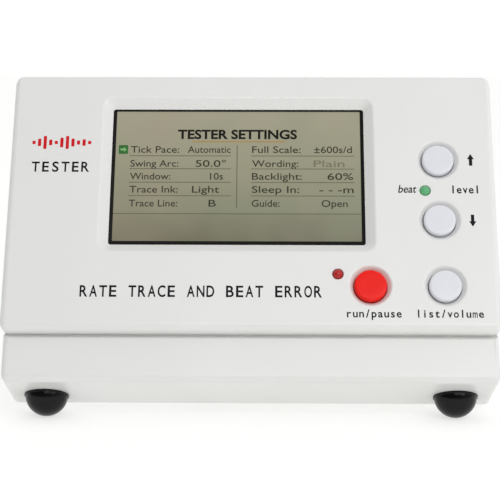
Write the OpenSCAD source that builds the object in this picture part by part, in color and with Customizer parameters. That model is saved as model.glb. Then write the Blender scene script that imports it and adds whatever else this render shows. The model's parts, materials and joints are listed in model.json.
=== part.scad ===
// Desktop watch timing tester: a leaning front panel with a colour display, four keys and two lamps,
// on a wedge-shaped housing with domed rubber feet. Millimetres, +Z up, front towards -Y.
// The origin is the middle of the footprint, at the level the feet stand on.

/* [Housing] */
// Width of the upper shell
body_w = 190; // [170:1:230]
// Depth of the housing, from the lower front edge to the rear wall
body_d = 95; // [90:1:115]
// Height of the front panel, measured along its slope
panel_h = 107.5; // [104:0.5:130]
// How far the panel leans back from upright, in degrees
lean = 28; // [24:1:31]
// Wall thickness of both shells
wall = 2.5; // [2:0.1:3]
// How far the panel stands in front of the lower shell
lip_step = 5; // [4:0.25:6]
// How far the lower shell is set in at each side and at the rear
shell_step = 1; // [0.75:0.05:1.4]
// Height of the lower shell's front face, measured along its slope
strip_h = 17.4; // [15:0.2:21]
// Open joint between the two shells, along the panel's slope
seam = 0.9; // [0.6:0.1:1.4]
// Depth of the sloping underside below the front face, which carries the front feet
chin_d = 32; // [29:0.5:36]
// Depth of the top face, square to the panel
top_d = 26; // [22:1:36]
// Height of the shoulder where the rear wall turns into the sloping back
shoulder_z = 62; // [55:1:85]

/* [Edges] */
// Radius of the panel's side and top edges
edge_r = 2.5; // [1:0.1:3]
// Radius of the panel's lower lip
lip_r = 3.2; // [2:0.1:4]
// Corner radius of the panel seen square on
corner_r = 3.75; // [2:0.25:5]
// Radius of the lower shell's front lower edge
chin_r = 2.7; // [1.5:0.1:3.5]
// Radius of the lower shell's front upper edge
strip_r = 1.5; // [0.5:0.1:2]
// Radius of the upright rear edges
rear_r = 4; // [2:0.25:6]

/* [Display] */
// Width of the window
window_w = 99.5; // [90:0.5:104]
// Height of the window
window_h = 57.8; // [52:0.2:60]
// Window centre, to the right of the panel's middle
window_x = -5.55; // [-14:0.05:0]
// Window centre, above the panel's lower edge
window_y = 64.6; // [62:0.1:72]
// Width of the sloping bevel round the window
bevel_w = 3.8; // [2:0.1:4.5]
// Depth of the bevel
bevel_d = 3; // [2.6:0.1:3.4]
// Width of the display module
lcd_w = 105.5; // [104:0.5:112]
// Height of the display module
lcd_h = 67.2; // [62:0.2:69]
// Thickness of the display module
lcd_t = 4.4; // [3.6:0.1:6]
// How far the display's own board stands out beyond the module at each side
lcd_board_margin = 8.25; // [7.5:0.25:9]

/* [Keys] */
// Diameter of a key cap
key_d = 12.4; // [10:0.1:13.5]
// Gap round a key cap
key_gap = 0.3; // [0.2:0.05:0.5]
// Diameter of the countersink round a key, at the panel's face
key_ring_d = 16.3; // [15.5:0.1:17]
// Depth of that countersink
key_ring_t = 2; // [1.2:0.1:2.2]
// How far a key cap stands out of the panel
key_proud = 0.6; // [0.2:0.1:1.5]
// Travel of a key
key_travel = 0.5; // [0.25:0.05:0.7]
// Across of the square switch under each key
switch_w = 12; // [10:0.5:12]

/* [Lamps] */
// Diameter of a signal lamp
lamp_d = 4; // [4:0.1:5]
// How far a lamp's dome stands out of the panel
lamp_proud = 1.3; // [0.5:0.1:2]

/* [Feet] */
// Diameter of a rubber foot's dome
foot_d = 16.6; // [14:0.1:18]
// Height of a foot below the shell
foot_h = 8.3; // [6.5:0.1:8.5]
// Distance of the feet from the middle, to each side
foot_x = 79; // [74:0.5:80]
// Front feet, behind the lower front edge
foot_front_d = 20; // [18:0.5:21]
// Rear feet, behind the front underside's rear edge
foot_rear_d = 46; // [42:0.5:47]
// Diameter of the stem that holds a foot in the shell
stem_d = 5; // [4:0.1:6]

/* [Boards] */
// Thickness of the circuit boards
board_t = 1.6; // [1.2:0.1:2]
// Width of the main board
main_w = 120; // [112:1:122]
// Depth of the main board
main_d = 54; // [50:0.5:54]
// Main board's middle, to the right of the housing's middle
main_x = 20; // [16:0.5:21]
// Gap between the main board and the rear wall
main_gap = 1; // [0.5:0.1:1.5]
// Height of the main board's underside
main_z = 17; // [16:0.25:18]

/* [Speaker] */
// Diameter of the speaker
speaker_d = 36; // [28:0.5:38]
// Speaker's middle, to the left of the housing's middle
speaker_x = 60; // [59:0.5:62]
// Speaker's middle, behind the front underside's rear edge
speaker_y = 31; // [29:0.5:33]

/* [Sockets] */
// Bore of the microphone socket, for a 3.5 mm plug
mic_bore_d = 3.6; // [3.55:0.05:3.8]
// Depth of the microphone socket's bore
mic_bore_l = 14; // [12:0.5:16]
// Microphone socket, to the right of the middle
mic_x = 62; // [58:0.5:64]
// Bore of the power inlet, for a 5.5 mm plug
power_bore_d = 5.8; // [5.6:0.1:6.2]
// Power inlet, to the right of the middle
power_x = 24; // [16:0.5:30]

/* [Hidden] */

$fn = 64;
far = 400;              // longer than anything that is cut
cut = 0.5;              // how far a cutting shape runs past the face it opens
arc_steps = 10;         // straight steps along one rounded corner of an outline
fit_gap = 0.15;         // clearance between nesting shells
thread_gap = 0.05;      // clearance round a screw's shank in its pilot hole

// Levels along the panel's normal, counted inwards from the panel's face
gasket_t = 0.5;
skin_gap = 0.05;
frame_n = bevel_d + gasket_t + 2 * skin_gap;
frame_front_t = 0.4;
frame_side_t = 0.5;
glass_t = 1.4;
glass_gap = 0.2;        // round the glass, inside its frame
stack_gap = 0.1;        // between the layers of the display
frame_back_n = frame_n + lcd_t;
display_board_n = frame_back_n + stack_gap;
display_board_back_n = display_board_n + board_t;
collar_n = key_ring_t + 1.6;
flange_gap = 0.3;
flange_t = 1.2;
flange_over = 1.2;
cap_back_n = collar_n + flange_gap + flange_t;
switch_gap = 1.5;
switch_n = cap_back_n + switch_gap;
switch_t = 4.9;
key_board_n = switch_n + switch_t;
key_board_back_n = key_board_n + board_t;
plunger_d = 6.8;
plunger_gap = 0.08;
plunger_in = 1.8;
lamp_l = 8.6;
lamp_flange = 0.4;
lamp_gap = 0.15;
lead_spacing = 2.54;
lead_d = 0.5;

// Self-tapping screws that hold the boards
screw_d = 2.4;
screw_head_d = 4.8;
screw_head_t = 1.5;
screw_tip = [0.6, 1];    // diameter and length of the point
screw_slot = [2.6, 0.6, 0.8];
screw_boss_d = 6;
screw_bite = 5;
screw_hole_d = screw_d + 0.4;
screw_pilot_d = screw_d + 2 * thread_gap;

// Screws that hold the two shells together
case_screw_d = 3;
case_head_d = 5.6;
case_head_t = 2;
case_tip = [0.8, 1.5];   // diameter and length of the point
case_slot = [3.2, 0.8, 1];
case_boss_d = 8.4;
case_bite = 11;
case_boss_h = 16;
case_seat = 9;          // plastic left between a screw's head and the joint
case_boss_x = body_w / 2 - wall - 3.7;

// Side view: the panel's frame of reference, with h up its slope and n outwards
sn = sin(lean);
cs = cos(lean);
dome_r = (pow(foot_d / 2, 2) + pow(foot_h, 2)) / (2 * foot_h);
dome_in = dome_r - foot_h;
toe_z = dome_r - dome_in * cs + foot_front_d * sn;
chin_h = strip_h + seam;
panel_z = toe_z + chin_h * cs + lip_step * sn;
front_reach = chin_r * (sn + cs - 1);
bush_out = 2.6;
toe_y = -(body_d + bush_out - shell_step) / 2 - front_reach;
panel_y = toe_y + chin_h * sn - lip_step * cs;
rear_y = toe_y + front_reach + body_d;
function side(n, h) = [panel_y + h * sn - n * cs, panel_z + h * cs + n * sn];
function at_height(n, z) = side(n, (z - panel_z - n * sn) / cs);

seam_z = panel_z - lip_step * sn;              // underside of the upper shell
rim_z = seam_z - seam * cs;                    // top of the lower shell
tongue_h = 2.6;                                // how far the lower shell's tongue stands above its rim
tongue_n = lip_step + 1.3;                     // front of that tongue
heel = side(-lip_step - chin_d, -chin_h);      // rear edge of the sloping underside

// The base rises from the heel so that the rear feet stand level with the front ones
function rise(angle, n) = n == 0 ? angle
    : rise(atan((dome_r - dome_in * cos(angle) - heel.y) / (foot_rear_d * cos(angle))), n - 1);
base_tilt = rise(5, 6);
lower_rear_y = rear_y - shell_step;
base_rear_z = heel.y + (lower_rear_y - heel.x) * tan(base_tilt);

// Outline helpers: a corner is [x, y, radius]
function flat(p) = [p[0], p[1]];
function unit(v) = v / norm(v);
function inward(a, b) = let (d = unit(flat(b) - flat(a))) [-d.y, d.x];
function corner_arc(a, b, c) =
    b[2] <= 0 ? [flat(b)] :
    let (u = unit(flat(a) - flat(b)), v = unit(flat(c) - flat(b)),
         half = acos(u * v) / 2,
         mid = flat(b) + unit(u + v) * b[2] / sin(half),
         from = flat(b) + u * b[2] / tan(half) - mid,
         to = flat(b) + v * b[2] / tan(half) - mid,
         start = atan2(from.y, from.x),
         turn = (atan2(to.y, to.x) - start + 540) % 360 - 180)
    [for (i = [0 : arc_steps]) mid + b[2] * [cos(start + turn * i / arc_steps),
                                             sin(start + turn * i / arc_steps)]];
function rounded(c) = [for (i = [0 : len(c) - 1])
    each corner_arc(c[(i + len(c) - 1) % len(c)], c[i], c[(i + 1) % len(c)])];
function inset(c, t) = [for (i = [0 : len(c) - 1])
    let (a = inward(c[(i + len(c) - 1) % len(c)], c[i]), b = inward(c[i], c[(i + 1) % len(c)]),
         p = flat(c[i]) + t * (a + b) / (1 + a * b))
    [p.x, p.y, c[i][2] == 0 ? 0 : max(c[i][2] - t, 0.4)]];
function block(w, h, r) = [[-w / 2, -h / 2, r], [w / 2, -h / 2, r], [w / 2, h / 2, r], [-w / 2, h / 2, r]];
function bezier(a, b, c, d, t) =
    a * pow(1 - t, 3) + 3 * b * t * pow(1 - t, 2) + 3 * c * t * t * (1 - t) + d * pow(t, 3);

// Side outlines of the two shells, anticlockwise from the front lower corner
upper_side = [
    concat(side(-lip_step, 0), 0), [rear_y, seam_z, 0], [rear_y, shoulder_z, 15],
    concat(side(-top_d, panel_h), 8), concat(side(0, panel_h), edge_r), concat(side(0, 0), lip_r)];
lower_side = [
    concat(side(-lip_step, -chin_h), chin_r), concat(heel, 3), [lower_rear_y, base_rear_z, 4],
    [lower_rear_y, rim_z, 0], concat(at_height(-lip_step, rim_z), strip_r)];
upper_inner = inset(upper_side, wall);
lower_inner = inset(lower_side, wall);

// Key and lamp places on the panel: [across, up], and the switches' names in the same order
key_places = [[72.9, 70.4], [72.8, 45.1], [74.0, 18.2], [45.6, 18.2]];
lamp_places = [[67.5, 57.4], [33.2, 22.8]];
key_board_outline = [[27, 6], [89, 6], [89, 85], [61, 85], [61, 29.3], [27, 29.3]];
key_screw_places = [[84.5, 80], [84.5, 57.8], [59.8, 18.2], [31, 10.5]];

// Display board and its screws
display_board_w = lcd_w + 2 * lcd_board_margin;
display_board_h = lcd_h + 2;
display_screw_x = lcd_w / 2 + screw_boss_d / 2 + 1.2;
display_screw_y = display_board_h / 2 - screw_boss_d / 2 - 0.4;
display_socket_w = 24;
socket_t = 2.6;
socket_d = 5;

// Main board and what stands on it
main_back_y = lower_rear_y - wall - main_gap;
main_y = main_back_y - main_d / 2;
main_top_z = main_z + board_t;
main_screw_x = main_w / 2 - 4;
main_screw_y = main_d / 2 - 4;
board_r = 1;            // corner radius of a board
mould_r = 0.3;          // corner radius of a moulded part on a board
driver_size = [14, 14, 1.2];
processor_size = [14, 14, 1.4];
crystal_size = [11, 4.6, 3.6];
crystal_r = 2.25;
regulator_size = [10, 9, 4.4];
capacitor_d = 8;
capacitor_h = 11;
shield_size = [26, 20, 6];
shield_r = 0.6;
mic_body = [11, 15, 10];
mic_z = main_top_z + mic_body.z / 2;
mic_bush_d = 6;
power_body = [9.5, 13, 11];
power_z = main_top_z + 6.5;
power_barrel_d = 8;

// Screw columns that join the shells: two beside the front, two beside the rear
case_places = [for (sx = [-1, 1]) for (y = [heel.x + 12, lower_rear_y - wall - 5]) [sx * case_boss_x, y]];

module along_x(w) rotate([90, 0, 90]) linear_extrude(height = w, center = true) children();
module face(x = 0, h = 0, n = 0)
    translate([x, side(n, h).x, side(n, h).y]) rotate([90 - lean, 0, 0]) children();
module base(x = 0, d = 0)
    translate([x, heel.x, heel.y]) rotate([base_tilt, 0, 0]) translate([0, d, 0]) children();
module rear(x, z) translate([x, lower_rear_y, z]) rotate([-90, 0, 0]) children();
module plate(w, h, r, t) linear_extrude(height = t) polygon(rounded(block(w, h, r)));
module at_corners(x, y) for (sx = [-1, 1]) for (sy = [-1, 1]) translate([sx * x, sy * y, 0]) children();
module brick(size, r = mould_r) plate(size.x, size.y, r, size.z);

// Outer form of a shell: its side outline, cut by its outlines from the front, along the panel and in plan
module shell_form(profile, w, low_h, low_r, high_h, front_n, back_y, back_r) {
    intersection() {
        along_x(w) polygon(rounded(profile));
        face() translate([0, 0, -far / 2]) linear_extrude(height = far)
            polygon(rounded([[-w / 2, low_h, low_r], [w / 2, low_h, low_r],
                             [w / 2, high_h, low_r], [-w / 2, high_h, low_r]]));
        face() rotate([90, 0, 0]) linear_extrude(height = far, center = true)
            polygon(rounded([[-w / 2, -far / 2, 0], [w / 2, -far / 2, 0],
                             [w / 2, front_n, edge_r], [-w / 2, front_n, edge_r]]));
        linear_extrude(height = far, center = true)
            polygon(rounded([[-w / 2, -far / 2, 0], [w / 2, -far / 2, 0],
                             [w / 2, back_y, back_r], [-w / 2, back_y, back_r]]));
    }
}

module upper_cavity() {
    low = seam_z - 2 * cut;
    along_x(body_w - 2 * wall) polygon(rounded([
        concat(at_height(-tongue_n + fit_gap, low), 0), [rear_y - wall, low, 0],
        upper_inner[2], upper_inner[3], upper_inner[4],
        concat(side(-wall, wall), 0), concat(side(-tongue_n + fit_gap, wall), 0)]));
}

module lower_cavity(top = rim_z + far / 4) {
    along_x(body_w - 2 * (shell_step + wall)) polygon(rounded([
        lower_inner[0], lower_inner[1], lower_inner[2],
        [lower_rear_y - wall, top, 0], concat(at_height(-lip_step - wall, top), 0)]));
}

// Bevelled window, and the straight opening behind it
module window_cut() {
    slope = bevel_w / bevel_d;
    face(window_x, window_y) {
        hull() {
            translate([0, 0, cut]) plate(window_w + 2 * (bevel_w + cut * slope),
                window_h + 2 * (bevel_w + cut * slope), 4.25, 0.01);
            translate([0, 0, -bevel_d]) plate(window_w, window_h, 1, 0.01);
        }
        translate([0, 0, -bevel_d - wall]) plate(window_w, window_h, 1, wall + cut / 2);
    }
}

// Round hole for a key, with its countersink
module key_hole() {
    r = key_d / 2 + key_gap;
    slope = (key_ring_d / 2 - r) / key_ring_t;
    rotate_extrude() polygon([[0, -collar_n - cut], [r, -collar_n - cut], [r, -key_ring_t],
                              [key_ring_d / 2 + cut * slope, cut], [0, cut]]);
}

module upper_fittings() {
    face(window_x, window_y, -bevel_d) plate(window_w + 8, window_h + 8, 4, bevel_d);
    for (p = key_places) face(p.x, p.y, -collar_n) cylinder(d = key_d + 7, h = collar_n);
    for (p = key_screw_places) face(p.x, p.y, -key_board_n) cylinder(d = screw_boss_d, h = key_board_n);
    face(window_x, window_y, -display_board_n + skin_gap) at_corners(display_screw_x, display_screw_y)
        cylinder(d = screw_boss_d, h = display_board_n - skin_gap);
    for (p = case_places) translate([p.x, p.y, seam_z]) cylinder(d = case_boss_d, h = case_boss_h);
}

module upper_shell() {
    color("whitesmoke") difference() {
        shell_form(upper_side, body_w, 0, corner_r, panel_h, 0, rear_y, rear_r);
        difference() {
            upper_cavity();
            upper_fittings();
        }
        window_cut();
        for (p = key_places) face(p.x, p.y) key_hole();
        for (p = lamp_places)
            face(p.x, p.y, -wall - cut) cylinder(d = lamp_d + 2 * lamp_gap, h = wall + 2 * cut);
        for (p = key_screw_places) face(p.x, p.y, -key_board_n - cut)
            cylinder(d = screw_pilot_d, h = screw_bite + 1 + cut);
        face(window_x, window_y, -display_board_n - cut) at_corners(display_screw_x, display_screw_y)
            cylinder(d = screw_pilot_d, h = display_board_n - wall + cut - 0.4);
        for (p = case_places) translate([p.x, p.y, seam_z - cut])
            cylinder(d = case_screw_d + 2 * thread_gap, h = case_bite + 1 + cut);
    }
}

// Speaker grille: parallel slots that fill a circle
slot_w = 2.2;
slot_pitch = 4.4;
grille_d = speaker_d * 0.72;
module speaker_grille() {
    for (i = [-2 : 2]) {
        reach = sqrt(pow(grille_d / 2, 2) - pow(i * slot_pitch, 2)) - slot_w / 2;
        base(-speaker_x + i * slot_pitch, speaker_y) translate([0, 0, -cut])
            plate(slot_w, 2 * reach + slot_w, slot_w / 2 - 0.05, wall + 2 * cut);
    }
}

// The speaker's rim rests on the base inside a low wall, under the heads of three screws
speaker_gap = 0.3;
speaker_rim_t = 1.2;
speaker_rim_z = wall + skin_gap;
speaker_wall_t = 1.6;
speaker_seat_z = speaker_rim_z + speaker_rim_t + skin_gap;
speaker_wall_z = speaker_seat_z - 0.3;
speaker_screw_r = speaker_d / 2 + 3;
speaker_screw_head_d = 7.2;
module at_speaker_screws() {
    for (a = [90, 210, 330]) base(-speaker_x, speaker_y)
        rotate(a) translate([speaker_screw_r, 0, 0]) children();
}

module lower_fittings() {
    translate([main_x, main_y, 0]) at_corners(main_screw_x, main_screw_y)
        cylinder(d = screw_boss_d, h = main_z - skin_gap);
    for (p = case_places) translate([p.x, p.y, 0]) cylinder(d = case_boss_d, h = rim_z);
    base(-speaker_x, speaker_y) difference() {
        cylinder(d = speaker_d + 2 * (speaker_gap + speaker_wall_t), h = speaker_wall_z);
        translate([0, 0, -cut]) cylinder(d = speaker_d + 2 * speaker_gap, h = speaker_seat_z + 2 * cut);
    }
    at_speaker_screws() cylinder(d = 5, h = speaker_seat_z);
}

// Tongue that stands up inside the upper shell and hides the open joint
module tongue() {
    low = rim_z - wall;
    high = rim_z + tongue_h;
    back = rear_y - wall - fit_gap;
    difference() {
        along_x(body_w - 2 * (wall + fit_gap)) polygon([
            at_height(-tongue_n, low), [back, low], [back, high], at_height(-tongue_n, high)]);
        lower_cavity();
        for (p = case_places) translate([p.x, p.y, rim_z]) cylinder(d = case_boss_d + 2, h = far / 4);
    }
}

module lower_shell() {
    color("whitesmoke") difference() {
        union() {
            difference() {
                shell_form(lower_side, body_w - 2 * shell_step, -chin_h, chin_r, far / 2, -lip_step,
                           lower_rear_y, rear_r - shell_step);
                difference() {
                    lower_cavity();
                    lower_fittings();
                }
            }
            tongue();
        }
        for (p = case_places) {
            translate([p.x, p.y, rim_z - case_seat]) cylinder(d = case_screw_d + 0.4, h = case_seat + cut);
            translate([p.x, p.y, -cut]) cylinder(d = case_head_d + 0.8, h = rim_z - case_seat + cut);
        }
        for (sx = [-1, 1]) {
            face(sx * foot_x, -chin_h - cut, -lip_step - foot_front_d) rotate([-90, 0, 0])
                cylinder(d = stem_d + 2 * fit_gap, h = wall + 2 * cut);
            base(sx * foot_x, foot_rear_d) translate([0, 0, -cut])
                cylinder(d = stem_d + 2 * fit_gap, h = wall + 2 * cut);
        }
        translate([main_x, main_y, main_z - screw_bite - 1]) at_corners(main_screw_x, main_screw_y)
            cylinder(d = screw_pilot_d, h = screw_bite + 2);
        at_speaker_screws() translate([0, 0, 1]) cylinder(d = 1.8 + 2 * thread_gap, h = speaker_seat_z);
        speaker_grille();
        rear(mic_x, mic_z) translate([0, 0, -wall - cut])
            cylinder(d = mic_bush_d + 2 * fit_gap, h = wall + 2 * cut);
        rear(power_x, power_z) translate([0, 0, -wall - cut])
            cylinder(d = power_barrel_d + 2 * fit_gap, h = wall + 2 * cut);
    }
}

module cross_slot(slot) translate([0, 0, -cut]) for (a = [0, 90])
    rotate(a) translate([-slot.x / 2, -slot.y / 2, 0]) cube([slot.x, slot.y, slot.z + cut]);
module case_screws() {
    shank_l = case_seat + seam * cs + case_bite - 1;
    color("silver") for (p = case_places) translate([p.x, p.y, rim_z - case_seat]) {
        translate([0, 0, -case_head_t]) difference() {
            cylinder(d = case_head_d, h = case_head_t);
            cross_slot(case_slot);
        }
        cylinder(d = case_screw_d, h = shank_l);
        translate([0, 0, shank_l]) cylinder(d1 = case_screw_d, d2 = case_tip[0], h = case_tip[1]);
    }
}

// Domed foot: its rim sits on the shell, its stem goes through the wall and ends in a barb
module foot() {
    rim_t = 1.1;
    rim_r = foot_d / 2 + 0.35;
    barb = 1.2;
    low = asin((rim_t + dome_in) / dome_r);
    dome = [for (i = [0 : 20]) let (a = low + (90 - low) * i / 20)
        [dome_r * cos(a), dome_r * sin(a) - dome_in]];
    color("#1b1b1d") rotate_extrude() polygon(concat(
        [[0, -wall - barb - 1.6], [stem_d / 2 - 0.6, -wall - barb - 1.6], [stem_d / 2 + 0.5, -wall - barb + 0.6],
         [stem_d / 2 + 0.5, -wall - 0.2], [stem_d / 2, -wall - 0.2], [stem_d / 2, 0],
         [rim_r, 0], [rim_r, rim_t - 0.4], [rim_r - 0.4, rim_t]],
        dome));
}
module front_foot(sx) face(sx * foot_x, -chin_h, -lip_step - foot_front_d) rotate([90, 0, 0]) foot();
module rear_foot(sx) base(sx * foot_x, foot_rear_d) rotate([180, 0, 0]) foot();
module foot_front_left() front_foot(-1);
module foot_front_right() front_foot(1);
module foot_rear_left() rear_foot(-1);
module foot_rear_right() rear_foot(1);

// Display stack, each piece placed on the panel at its own level
module display(n) face(window_x, window_y, -n) children();

module display_gasket() {
    color("#2b2b2b") display(bevel_d + skin_gap + gasket_t) difference() {
        plate(window_w + 6, window_h + 6, 1, gasket_t);
        translate([0, 0, -cut]) plate(window_w + 1, window_h + 1, 1, gasket_t + 2 * cut);
    }
}

// Pressed frame of the display module; its opening lies a little above the window's middle
frame_r = 0.8;
opening_w = window_w - 2.6;
opening_h = window_h - 2.2;
opening_up = 0.65;
inner_r = 0.4;
module display_frame() {
    color("#141414") display(frame_back_n) difference() {
        plate(lcd_w, lcd_h, frame_r, lcd_t);
        translate([0, 0, -cut]) plate(lcd_w - 2 * frame_side_t, lcd_h - 2 * frame_side_t, inner_r,
                                      lcd_t - frame_front_t + cut);
        translate([0, opening_up, 0]) plate(opening_w, opening_h, inner_r, lcd_t + cut);
    }
}

glass_w = lcd_w - 2 * (frame_side_t + glass_gap);
glass_h = lcd_h - 2 * (frame_side_t + glass_gap);
glass_n = frame_n + frame_front_t + stack_gap;
module display_glass()
    color("#8f8d7c") display(glass_n + glass_t) plate(glass_w, glass_h, inner_r, glass_t);

module display_backlight() {
    front_n = glass_n + glass_t + stack_gap;
    color("ivory") display(frame_back_n - skin_gap)
        plate(glass_w, glass_h, inner_r, frame_back_n - skin_gap - front_n);
}

module display_board() {
    color("darkgreen") display(display_board_back_n) difference() {
        plate(display_board_w, display_board_h, board_r, board_t);
        translate([0, 0, -cut]) at_corners(display_screw_x, display_screw_y)
            cylinder(d = screw_hole_d, h = board_t + 2 * cut);
    }
}

module display_driver_chip()
    color("#202020") display(display_board_back_n + driver_size.z) translate([-18, 8, 0]) brick(driver_size);

module display_socket()
    color("ivory") display(display_board_back_n + socket_t) translate([0, -display_board_h / 2 + 8, 0])
        plate(display_socket_w, socket_d, mould_r, socket_t);

// Self-tapping screw, head below its seat at z = 0 and shank upwards
module board_screw(bite) {
    shank_l = board_t + bite - screw_tip[1];
    color("silver") {
        cylinder(d = screw_d, h = shank_l);
        translate([0, 0, shank_l]) cylinder(d1 = screw_d, d2 = screw_tip[0], h = screw_tip[1]);
        translate([0, 0, -screw_head_t]) difference() {
            cylinder(d = screw_head_d, h = screw_head_t);
            cross_slot(screw_slot);
        }
    }
}

module display_screws() {
    display(display_board_back_n) at_corners(display_screw_x, display_screw_y)
        board_screw(display_board_n - wall - 1.2);
}

module key_board_screws() {
    for (p = key_screw_places) face(p.x, p.y, -key_board_back_n) board_screw(screw_bite);
}

// Key cap: a disc with a rounded edge, held behind the panel by its flange
module key_cap(place) {
    round_r = 0.8;
    r = key_d / 2;
    face(place.x, place.y, -cap_back_n) rotate_extrude() polygon(rounded([
        [0, 0, 0], [r + flange_over, 0, 0], [r + flange_over, flange_t, 0], [r, flange_t, 0],
        [r, cap_back_n + key_proud, round_r], [0, cap_back_n + key_proud, 0]]));
}
module plunger(place) {
    h = switch_gap + plunger_in;
    color("#e8e4d8") face(place.x, place.y, -cap_back_n - h) cylinder(d = plunger_d, h = h);
}
module switch_body(place) {
    well = plunger_in + key_travel + 0.3;
    color("#26282c") face(place.x, place.y, -key_board_n) difference() {
        plate(switch_w, switch_w, 0.6, switch_t);
        translate([0, 0, switch_t - well]) cylinder(d = plunger_d + 2 * plunger_gap, h = well + cut);
    }
}
module key_up() color("white") key_cap(key_places[0]);
module key_down() color("white") key_cap(key_places[1]);
module key_menu() color("white") key_cap(key_places[2]);
module key_start() color("#e83a2c") key_cap(key_places[3]);
module plunger_up() plunger(key_places[0]);
module plunger_down() plunger(key_places[1]);
module plunger_menu() plunger(key_places[2]);
module plunger_start() plunger(key_places[3]);
module switch_up() switch_body(key_places[0]);
module switch_down() switch_body(key_places[1]);
module switch_menu() switch_body(key_places[2]);
module switch_start() switch_body(key_places[3]);

// Signal lamp: a domed body on a flange, with two leads that run through a spacer to the board
lamp_back_n = lamp_l - lamp_proud;
module lamp(place) {
    r = lamp_d / 2;
    lead_l = key_board_n - lamp_back_n;
    face(place.x, place.y, -lamp_back_n) {
        cylinder(r = r, h = lamp_l - r);
        translate([0, 0, lamp_l - r]) sphere(r = r);
        cylinder(r = r + lamp_flange, h = 1);
        for (sx = [-1, 1]) translate([sx * lead_spacing / 2, 0, -lead_l]) cylinder(d = lead_d, h = lead_l + 0.5);
    }
}
module lamp_signal() color("#39b54a") lamp(lamp_places[0]);
module lamp_run() color("#c0392b") lamp(lamp_places[1]);
module lamp_spacers() {
    h = key_board_n - lamp_back_n - 2 * skin_gap;
    color("#efece2") for (p = lamp_places) face(p.x, p.y, -key_board_n + skin_gap) difference() {
        cylinder(d = lamp_d + 0.4, h = h);
        for (sx = [-1, 1]) translate([sx * lead_spacing / 2, 0, -cut])
            cylinder(d = lead_d + 0.3, h = h + 2 * cut);
    }
}

module key_board() {
    color("darkgreen") face(0, 0, -key_board_back_n) difference() {
        linear_extrude(height = board_t) polygon(key_board_outline);
        for (p = key_screw_places) translate([p.x, p.y, -cut])
            cylinder(d = screw_hole_d, h = board_t + 2 * cut);
    }
}

key_socket_place = [44, 12];
key_socket_w = 14;
module key_board_socket()
    color("ivory") face(key_socket_place.x, key_socket_place.y, -key_board_back_n - socket_t)
        plate(key_socket_w, socket_d, mould_r, socket_t);

// Flat ribbon bent along a smooth curve in the side view, from one socket to another
ribbon_t = 0.4;
ribbon_steps = 14;
module ribbon(x, w, from, lead_out, to, lead_in) {
    path = [for (i = [0 : ribbon_steps]) bezier(from, lead_out, lead_in, to, i / ribbon_steps)];
    normals = [for (i = [0 : ribbon_steps])
        let (d = unit(path[min(i + 1, ribbon_steps)] - path[max(i - 1, 0)])) [-d.y, d.x] * ribbon_t / 2];
    translate([x, 0, 0]) along_x(w) polygon(concat(
        [for (i = [0 : ribbon_steps]) path[i] + normals[i]],
        [for (i = [ribbon_steps : -1 : 0]) path[i] - normals[i]]));
}

main_display_socket_y = main_y - 6;
main_key_socket_y = main_y - 16;
display_ribbon_start = side(-display_board_back_n - socket_t / 2, window_y - display_board_h / 2 + 5.2);
key_ribbon_start = side(-key_board_back_n - socket_t / 2, key_socket_place.y - 2.8);
module display_ribbon() {
    to = [main_display_socket_y, main_top_z + socket_t + 0.2];
    color("#d9d9d4") ribbon(window_x, display_socket_w - 4, display_ribbon_start,
        display_ribbon_start - 14 * [sn, cs], to, to + [0, 18]);
}
module key_ribbon() {
    to = [main_key_socket_y, main_top_z + socket_t + 0.2];
    color("#d9d9d4") ribbon(key_socket_place.x, key_socket_w - 4, key_ribbon_start,
        key_ribbon_start - 5 * [sn, cs], to, to + [0, 9]);
}

module main_board() {
    color("darkgreen") translate([main_x, main_y, main_z]) difference() {
        plate(main_w, main_d, board_r, board_t);
        translate([0, 0, -cut]) at_corners(main_screw_x, main_screw_y)
            cylinder(d = screw_hole_d, h = board_t + 2 * cut);
    }
}
module main_board_screws() {
    translate([main_x, main_y, main_top_z]) at_corners(main_screw_x, main_screw_y)
        rotate([180, 0, 0]) board_screw(screw_bite);
}
module on_main(x, y) translate([main_x + x, main_y + y, main_top_z]) children();
module processor_chip() color("#202020") on_main(-28, 8) brick(processor_size);
module clock_crystal() color("silver") on_main(-44, 8) brick(crystal_size, crystal_r);
module voltage_regulator() color("#202020") on_main(-22, -15) brick(regulator_size);
module smoothing_capacitors() {
    color("#2d3350") for (p = [[-44, -14], [-35, -14], [16, 12]])
        on_main(p.x, p.y) cylinder(d = capacitor_d, h = capacitor_h);
}
module amplifier_shield() color("lightgray") on_main(34, -3) brick(shield_size, shield_r);
module main_display_socket() color("ivory")
    translate([window_x, main_display_socket_y, main_top_z])
        plate(display_socket_w, socket_d, mould_r, socket_t);
module main_key_socket() color("ivory")
    translate([key_socket_place.x, main_key_socket_y, main_top_z])
        plate(key_socket_w, socket_d, mould_r, socket_t);
speaker_socket_x = -53;
speaker_socket = [6, 8, 6];
module speaker_socket() color("ivory") on_main(speaker_socket_x, -2) brick(speaker_socket);

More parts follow.
